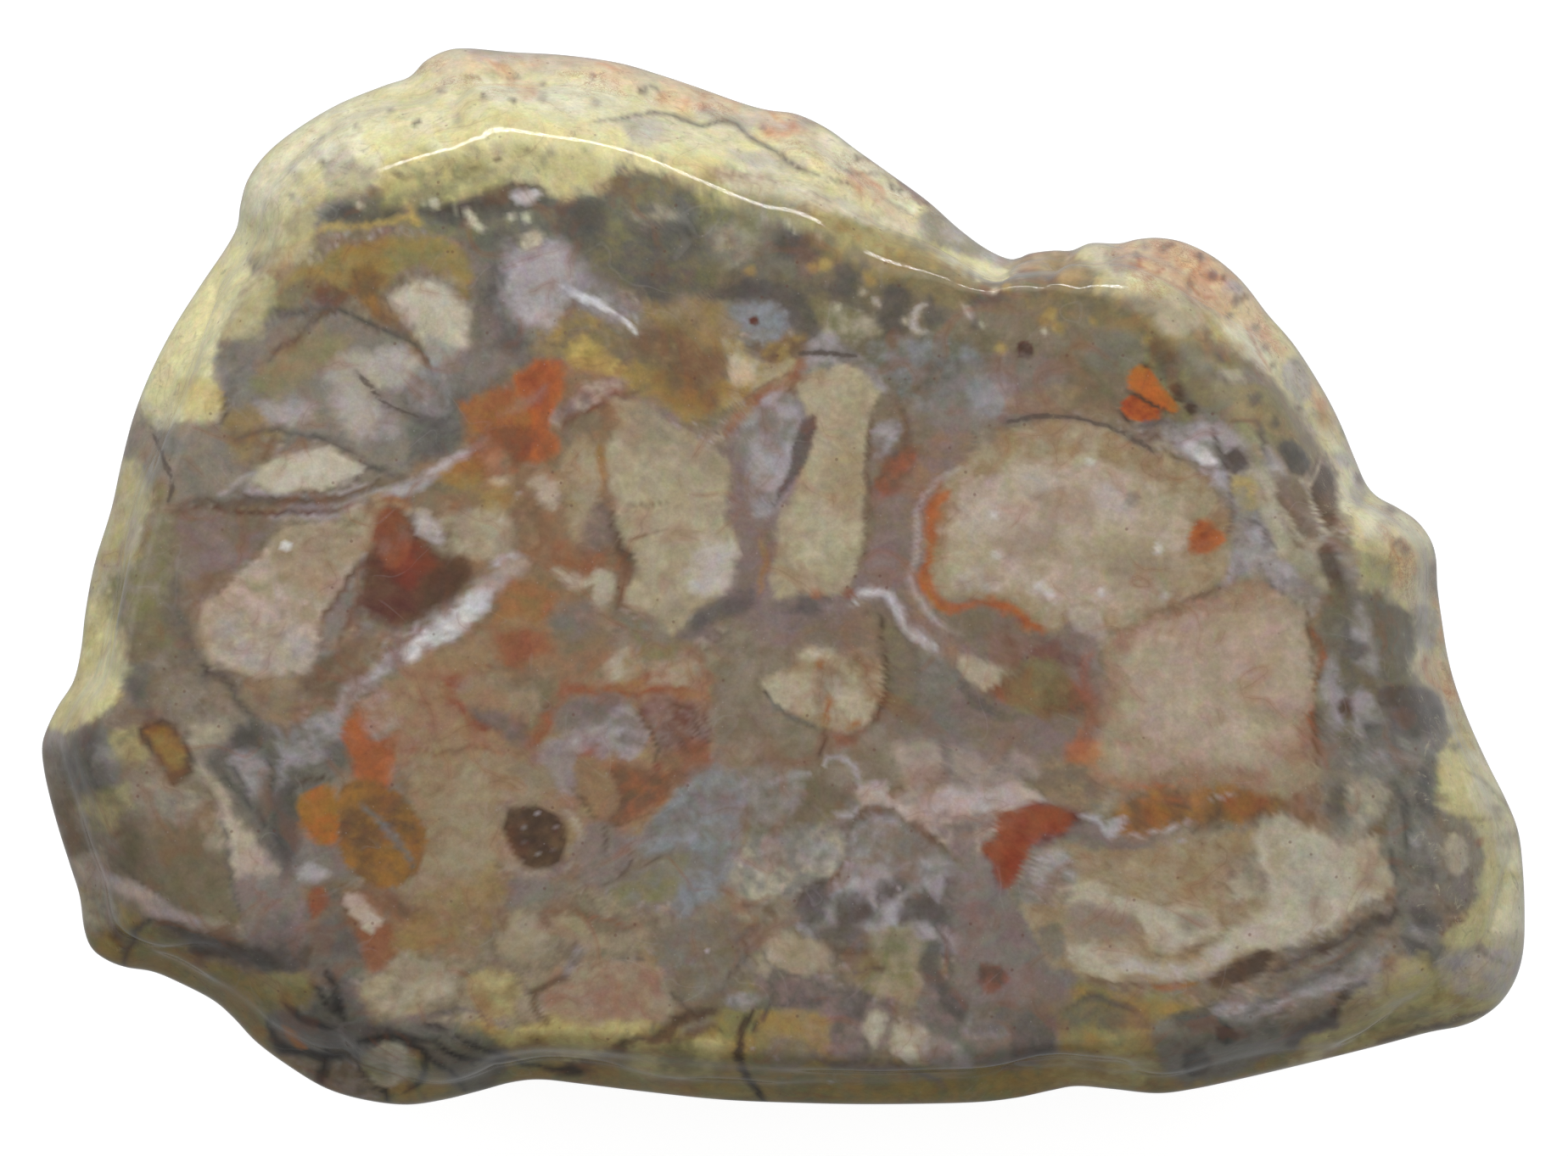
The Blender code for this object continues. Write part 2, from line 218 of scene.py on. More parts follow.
def rind_pits():
    """Centre and radius of the pits in the sides and the back."""
    draw = random.Random(PIT_SEED)
    pits = []
    while len(pits) < PIT_COUNT:
        x = draw.uniform(-44, 44)
        y = draw.uniform(-31, 31)
        z = draw.uniform(0, 0.6 * FACE_HEIGHT)
        pits.append(((x, y, z), draw.uniform(*PIT_RADII)))
    return pits


def rind_carving(points):
    """Depth of the hollows between the lumps of the rind, and of its grooves and pits."""
    lumps = LUMP_DEPTH * (0.5 - 0.6 * bulk_noise(points, LUMP_LENGTH))
    knuckles = KNUCKLE_DEPTH * (0.5 - 0.6 * bulk_noise(points, KNUCKLE_LENGTH, (7, 3, 1)))
    crease = np.abs(bulk_noise(points, GROOVE_LENGTH, (2, 9, 4)))
    groove = GROOVE_DEPTH * np.maximum(0.0, 1 - GROOVE_SHARPNESS * crease) ** 2
    hollow = np.zeros(len(points))
    for centre, radius in rind_pits():
        reach = np.linalg.norm(points - centre, axis=1) / radius
        depth = radius * PIT_DEPTH_SHARE * np.maximum(0.0, 1 - reach ** 2) ** 2
        hollow = np.maximum(hollow, depth)
    return np.maximum(0.0, lumps) + np.maximum(0.0, knuckles) + groove + hollow


def bead_heights(points):
    """Height of the two small beads on the rim."""
    height = np.zeros(len(points))
    for centre, radius, top in BEADS:
        reach = np.linalg.norm(points - np.array(centre), axis=1) / radius
        height = np.maximum(height, top * np.maximum(0.0, 1 - reach ** 2))
    return height


def shoulder_ring(rim, share, lift):
    """Points of the rounded shoulder; lift goes from 0 at the widest line to 1 at the face."""
    bearing, radius, soft, width, girth = rim.at(share)
    turn = lift * math.pi / 2
    edge = lerp(radius, soft, FACE_SOFTNESS) - width
    reach = lerp(radius, edge, 1 - math.cos(turn))
    x, y = reach * np.cos(bearing), reach * np.sin(bearing)
    z = lerp(girth, face_heights(x, y), math.sin(turn))
    base = np.stack([x, y, z], 1)
    flat = math.cos(turn)
    outward = np.stack([np.cos(bearing) * flat, np.sin(bearing) * flat, np.full(len(x), math.sin(turn))], 1)
    fade = float(ease(3 * lift) * ease(2 * (1 - lift)))
    relief = bead_heights(base)
    if fade > 0:
        relief = relief - SHOULDER_RELIEF * fade * rind_carving(base)
    return base + outward * relief[:, None]


def face_ring(rim, share, out):
    """Points of the polished face; out goes from 0 in the middle to 1 at its edge."""
    bearing, radius, soft, width, _ = rim.at(share)
    reach = (lerp(radius, soft, FACE_SOFTNESS) - width) * out
    x, y = reach * np.cos(bearing), reach * np.sin(bearing)
    return np.stack([x, y, face_heights(x, y)], 1)


def rest_ring(bearing, out):
    """Points of the resting flat; out goes from 0 in the middle to 1 at its edge."""
    x = REST_CENTRE[0] + REST_HALF_SIZE[0] * out * np.cos(bearing)
    y = REST_CENTRE[1] + REST_HALF_SIZE[1] * out * np.sin(bearing)
    return np.stack([x, y, np.zeros_like(x)], 1)


def back_ring(rim, share, turn):
    """Points of the back; turn goes from 0 at the widest line to a right angle at the resting flat."""
    bearing, radius, soft, _, girth = rim.at(share)
    out = max(0.0, math.cos(turn)) ** (2 / BACK_FULLNESS)
    reach = lerp(np.minimum(soft, radius + 2), radius, ease((out - 0.6) / 0.4))
    edge = np.stack([reach * np.cos(bearing), reach * np.sin(bearing), np.zeros_like(reach)], 1)
    spot = rest_ring(bearing, 1)
    base = lerp(spot, edge, out)
    base[:, 2] = girth * (1 - math.sin(turn) ** (2 / BACK_FULLNESS))
    span = np.linalg.norm(edge - spot, axis=1)[:, None]
    normal = (edge - spot) / span * math.cos(turn) / span
    normal[:, 2] = -math.sin(turn) / girth
    normal /= np.linalg.norm(normal, axis=1)[:, None]
    fade = float(ease(turn / RIND_STARTS) * ease(1.5 * out))
    return base - normal * (fade * rind_carving(base))[:, None]


class Skin:
    """Rings of points stitched from the middle of the face, over the rim, to the middle of the back."""

    def __init__(self):
        self.points = []
        self.faces = []
        self.seen = []
        self.depth = []
        self.count = 0
        self.last = None

    def add(self, share, points, seen=None, depth=0.0):
        """Adds a ring. seen is where it is painted from, the rim for a ring on the back."""
        ring = self.count + np.arange(len(points))
        self.points.append(points)
        self.seen.append(points if seen is None else seen)
        self.depth.append(np.full(len(points), depth))
        self.count += len(points)
        if self.last is not None:
            self.stitch(*self.last, share, ring)
        self.last = (share, ring)

    def stitch(self, share_a, ring_a, share_b, ring_b):
        """Triangles between two rings of any number of points."""
        middle_a = (share_a + np.append(share_a[1:], share_a[0] + 1)) / 2
        middle_b = (share_b + np.append(share_b[1:], share_b[0] + 1)) / 2
        opposite_b = ring_a[np.searchsorted(middle_a, middle_b) % len(ring_a)]
        self.faces.append(np.stack([ring_b, np.roll(ring_b, -1), opposite_b], 1))
        opposite_a = ring_b[np.searchsorted(middle_b, middle_a, "right") % len(ring_b)]
        self.faces.append(np.stack([np.roll(ring_a, -1), ring_a, opposite_a], 1))


def ring_shares(count, index):
    """Shares of the way round for a ring, every second ring half a step on."""
    return (np.arange(count) + 0.5 * (index % 2)) / count


def stone_skin():
    """All points and triangles of the stone's skin."""
    rim = Rim()
    skin = Skin()
    rim_count = round(0.92 * rim.length / GRAIN_SPACING)
    for i in range(FACE_RING_COUNT):
        out = (i + 0.5) / FACE_RING_COUNT
        share = ring_shares(max(6, round(rim_count * out)), i)
        skin.add(share, face_ring(rim, share, out))
    for i in range(SHOULDER_RING_COUNT + 1):
        lift = 1 - (i / SHOULDER_RING_COUNT) ** 0.9
        share = ring_shares(rim_count, FACE_RING_COUNT + i)
        skin.add(share, shoulder_ring(rim, share, lift))
    for i in range(1, BACK_RING_COUNT + 1):
        turn = math.pi / 2 * i / BACK_RING_COUNT
        out = 0.3 + 0.7 * math.cos(turn)
        share = ring_shares(round(rim.length / BACK_SPACING * out), i)
        skin.add(share, back_ring(rim, share, turn), shoulder_ring(rim, share, 0), turn)
    for i, out in enumerate(REST_RINGS):
        share = ring_shares(round(100 * out), i)
        skin.add(share, rest_ring(rim.at(share)[0], out), shoulder_ring(rim, share, 0), math.pi / 2)
    points, faces = np.vstack(skin.points), np.vstack(skin.faces)
    first, last = np.arange(6), skin.last[1]
    caps = [(first[0], first[k], first[k + 1]) for k in range(1, 5)]
    caps += [(last[0], last[k + 1], last[k]) for k in range(1, len(last) - 1)]
    points[:, :2] -= (points[:, :2].min(0) + points[:, :2].max(0)) / 2
    faces = np.vstack([faces, np.array(caps)])
    return points, faces, seen_pixels(np.vstack(skin.seen)), np.concatenate(skin.depth)


def seen_pixels(points):
    """Pixels of the photograph in which the camera sees the points."""
    near = CAMERA_DISTANCE / (CAMERA_DISTANCE + WIDEST_LINE_HEIGHT - points[:, 2])
    return np.stack([
        ORIGIN_PIXEL[0] + PIXELS_PER_MM * near * points[:, 0],
        ORIGIN_PIXEL[1] - PIXELS_PER_MM * near * points[:, 1],
    ], 1)


class Grain:
    """Smooth random variation in space, the same each run."""

    def __init__(self, seed):
        draw = np.random.RandomState(seed)
        self.order = draw.permutation(256)
        slopes = draw.normal(size=(256, 3))
        self.slopes = slopes / np.linalg.norm(slopes, axis=1)[:, None]

    def single(self, points):
        cell = np.floor(points).astype(int)
        inside = points - cell
        blend = inside ** 3 * (inside * (inside * 6 - 15) + 10)
        total = np.zeros(len(points))
        for corner in np.ndindex(2, 2, 2):
            place = (cell + corner) & 255
            pick = self.order[place[:, 0]]
            pick = self.order[(pick + place[:, 1]) & 255]
            pick = self.order[(pick + place[:, 2]) & 255]
            slope = np.einsum("ij,ij->i", self.slopes[pick], inside - corner)
            weight = np.prod(np.where(corner, blend, 1 - blend), axis=1)
            total += slope * weight
        return 1.6 * total

    def at(self, points, length, octaves=1):
        """Variation between about -1 and 1, of the given length, with finer and weaker octaves."""
        total, strength, top = 0.0, 1.0, 0.0
        for octave in range(octaves):
            total = total + strength * self.single(points / length + 17.3 * octave)
            top += strength
            length, strength = length / 2.03, strength * 0.55
        return total / top


def linear(tone):
    """Linear colour of a tone given in display values from 0 to 255."""
    value = np.array(tone, float) / 255
    return np.where(value <= 0.04045, value / 12.92, ((value + 0.055) / 1.055) ** 2.4)


# Tones of the stone, in display values from 0 to 255
TONES = {
    "butter": (201, 193, 145), "rind_cream": (205, 199, 166), "straw": (192, 180, 124),
    "ochre": (190, 165, 98), "custard": (224, 216, 166), "pale": (220, 216, 192),
    "peach": (212, 184, 152), "bone": (184, 174, 152), "cream": (192, 184, 166),
    "parchment": (172, 160, 134), "beige": (160, 146, 120), "tan": (150, 128, 98), "fawn": (146, 116, 88),
    "slate": (110, 108, 98), "dark_slate": (80, 77, 72), "olive": (110, 102, 78), "moss": (128, 122, 84),
    "grey": (126, 121, 113), "lilac": (166, 159, 162), "milk": (186, 178, 180),
    "blue_grey": (138, 141, 146), "smoke": (94, 88, 84), "gold": (152, 128, 76), "amber": (156, 112, 54),
    "orange": (178, 100, 50), "rust": (146, 84, 54), "red": (136, 64, 42), "maroon": (98, 62, 54),
    "brown": (104, 80, 60), "umber": (76, 60, 48), "salmon": (150, 116, 96), "pink": (186, 166, 154),
    "mauve": (132, 114, 110), "black": (46, 43, 40), "white": (222, 219, 219),
    "warm_grey": (142, 130, 114), "drab": (122, 108, 88),
}
CRACK_REACH = 9.0             # pixels over which a crack's closeness fades
PATCH_FADE, LINE_FADE = 1.7, 1.9   # widths of the edges of patches and lines, for a softness of 1
FOOT_PAINTED_SHADE = 0.95             # painted shade: how much deeper the tones are made towards the foot of the face, where less light falls
DEPTH_OF_TONE = 1.02          # power that deepens the darker tones and leaves the pale ones
STREAK_DEPTH = (0.15, 0.75)   # turn below the widest line over which the face's colours give way to rind


def routes(text):
    """Lists of places from text such as '20 30 40 50; 60 70 80 90'."""
    return [np.array(part.split(), float).reshape(-1, 2) for part in text.split(";")]


class Painter:
    """Lays marks on the stone's points. Places, widths and softness are in pixels of the photograph."""

    def __init__(self, points, places, depth):
        self.points, self.places, self.depth = points, places, depth
        grain = Grain(5)
        flat = np.column_stack([places, np.zeros(len(places))])
        self.drift = np.zeros((len(places), 2))
        for length, share in ((42, 0.8), (15, 0.4), (7, 0.2)):
            for axis in (0, 1):
                self.drift[:, axis] += share * grain.at(flat + (0, 0, 500 + 90 * axis), length)
        self.clouds = [grain.at(flat + (900 * i, 0, 40), length, 4) for i, length in enumerate((64, 40, 26))]
        self.fleck = grain.at(flat + (0, 900, 80), 13, 3)
        self.blur = grain.at(flat + (300, 300, 9), 8, 2)
        self.turn = 0
        self.tone = np.empty((len(places), 3))
        self.tone[:] = self.mixed(("warm_grey", "drab"), slice(None))
        self.crack, self.haze, self.rind, self.seam = np.zeros((4, len(places)))

    def mixed(self, tones, chosen):
        """Two tones mixed in clouds and flecks over the chosen points."""
        first, second = (linear(TONES[name]) for name in (tones[0], tones[-1]))
        self.turn += 1
        cloud = self.clouds[self.turn % 3][chosen]
        share = ease(0.5 + 1.2 * cloud + 0.6 * self.fleck[chosen])
        depth = 1 + 0.10 * self.fleck[chosen] + 0.08 * self.blur[chosen]
        return lerp(first, second, share[:, None]) * depth[:, None]

    def near(self, line, margin):
        low, high = line.min(0) - margin, line.max(0) + margin
        return np.flatnonzero(((self.places > low) & (self.places < high)).all(1))

    def lay(self, chosen, tones, cover):
        tone = self.mixed(tones, chosen)
        self.tone[chosen] = lerp(self.tone[chosen], tone, cover[:, None])

    def inside(self, chosen, outline, wobble):
        """Distance in from a closed outline, negative outside it."""
        at = self.places[chosen] + wobble * self.drift[chosen]
        distance = np.full(len(at), 1e9)
        within = np.zeros(len(at), bool)
        for a, b in zip(outline, np.roll(outline, -1, 0)):
            span = b - a
            along = np.clip(((at - a) @ span) / max(span @ span, 1e-9), 0, 1)
            off = at - a - along[:, None] * span
            distance = np.minimum(distance, np.einsum("ij,ij->i", off, off))
            if a[1] != b[1]:
                crosses = (a[1] > at[:, 1]) != (b[1] > at[:, 1])
                within ^= crosses & (at[:, 0] < a[0] + (at[:, 1] - a[1]) * span[0] / span[1])
        return np.where(within, 1, -1) * np.sqrt(distance)

    def beyond(self, chosen, route, width, wobble):
        """Distance beyond the edge of a line that tapers to its ends."""
        at = self.places[chosen] + wobble * self.drift[chosen]
        lengths = np.concatenate([[0], np.cumsum(np.linalg.norm(np.diff(route, axis=0), axis=1))])
        best = np.full(len(at), 1e9)
        for i, (a, b) in enumerate(zip(route[:-1], route[1:])):
            span = b - a
            along = np.clip(((at - a) @ span) / max(span @ span, 1e-9), 0, 1)
            off = np.linalg.norm(at - a - along[:, None] * span, axis=1)
            share = (lengths[i] + along * (lengths[i + 1] - lengths[i])) / lengths[-1]
            half = 0.5 * width * np.sqrt(np.clip(4 * share * (1 - share), 0.06, 1))
            best = np.minimum(best, off - half)
        return best

    def patch(self, tones, outlines, soft=8, strength=1.0, wobble=None):
        """Filled areas with soft ragged edges."""
        wobble = 4 + 0.7 * soft if wobble is None else wobble
        for outline in outlines:
            outline = smooth_curve(outline, steps=3)
            chosen = self.near(outline, soft + 2 * wobble + 12)
            depth = self.inside(chosen, outline, wobble) + 0.6 * soft * self.blur[chosen]
            self.lay(chosen, tones, strength * ease(0.5 + depth / (PATCH_FADE * soft)))

    def stroke(self, tones, lines, width, soft=3, strength=1.0, wobble=None):
        """Lines that taper to their ends."""
        wobble = 2 + 1.2 * soft if wobble is None else wobble
        for route in lines:
            route = smooth_curve(route, closed=False, steps=4)
            chosen = self.near(route, width + soft + 2 * wobble + 8)
            off = self.beyond(chosen, route, width, wobble) + 0.5 * soft * self.blur[chosen]
            self.lay(chosen, tones, strength * ease(0.5 - off / (LINE_FADE * soft)))

    def line(self, tones, lines, width, strength=1.0):
        """Fine cracks: their closeness is kept apart, for the finish to draw them sharp and dark."""
        for route in lines:
            route = smooth_curve(route, closed=False, steps=4)
            chosen = self.near(route, width + CRACK_REACH + 12)
            off = self.beyond(chosen, route, width, 6)
            close = strength * np.clip(1 - off / CRACK_REACH, 0, 1)
            self.crack[chosen] = np.maximum(self.crack[chosen], close)

    def spots(self, tones, places, radius, soft=3, strength=1.0, wobble=None):
        """Round spots, one at each place."""
        wobble = 2 + soft if wobble is None else wobble
        for place in places[0]:
            chosen = self.near(place[None], radius + soft + 2 * wobble)
            at = self.places[chosen] + wobble * self.drift[chosen]
            off = np.linalg.norm(at - place, axis=1) - radius
            self.lay(chosen, tones, strength * ease(0.5 - off / (LINE_FADE * soft)))

    def marks(self, table):
        """Lays a table of marks. A row has its kind, its tones, the numbers of its method and its places."""
        rows = []
        for line in table.strip().splitlines():
            if line.startswith("#"):
                continue
            if ":" in line:
                rows.append(line)
            else:
                rows[-1] += " " + line
        for row in rows:
            head, places = row.split(":")
            kind, *words = head.split()
            tones = [word for word in words if word in TONES]
            numbers = [float(word) for word in words if word not in TONES]
            getattr(self, kind)(tones, routes(places), *numbers)

    def field(self, name, outline, amount=1.0, soft=20):
        """Raises one of the fields that steer the finish, such as haze or rind, inside an outline."""
        outline = smooth_curve(routes(outline)[0], steps=3)
        chosen = self.near(outline, soft + 36)
        depth = self.inside(chosen, outline, 12)
        values = getattr(self, name)
        values[chosen] = np.maximum(values[chosen], amount * ease(0.5 + depth / (2 * soft)))


def paint_ground(p):
    """Ground between the clasts: mottled greys and browns, with ragged veins."""
    grain = Grain(23)
    flat = np.column_stack([p.places, np.zeros(len(p.places))])
    bend = 26 * np.stack([grain.at(flat + 31 * i, 90, 3) for i in range(3)], 1)
    for i, (name, length, low, strength) in enumerate((
        ("mauve", 80, 0.05, 0.7), ("fawn", 60, 0.12, 0.6), ("grey", 50, 0.15, 0.8),
        ("parchment", 42, 0.18, 0.6), ("brown", 30, 0.24, 0.6), ("pink", 24, 0.26, 0.5),
        ("smoke", 20, 0.3, 0.6),
    )):
        share = strength * ease((grain.at(flat + bend + 77 * i, length, 4) - low) / 0.2)
        p.tone = lerp(p.tone, linear(TONES[name]), share[:, None])
    for name, length, strength in (("brown", 70, 0.6), ("milk", 55, 0.4), ("umber", 40, 0.4)):
        vein = np.abs(grain.at(flat + 1.6 * bend + 13 * length, length, 3))
        share = strength * ease(1 - vein / 0.05) * ease(2 * grain.at(flat + 5 * length, 120, 2) + 0.5)
        p.tone = lerp(p.tone, linear(TONES[name]), share[:, None])
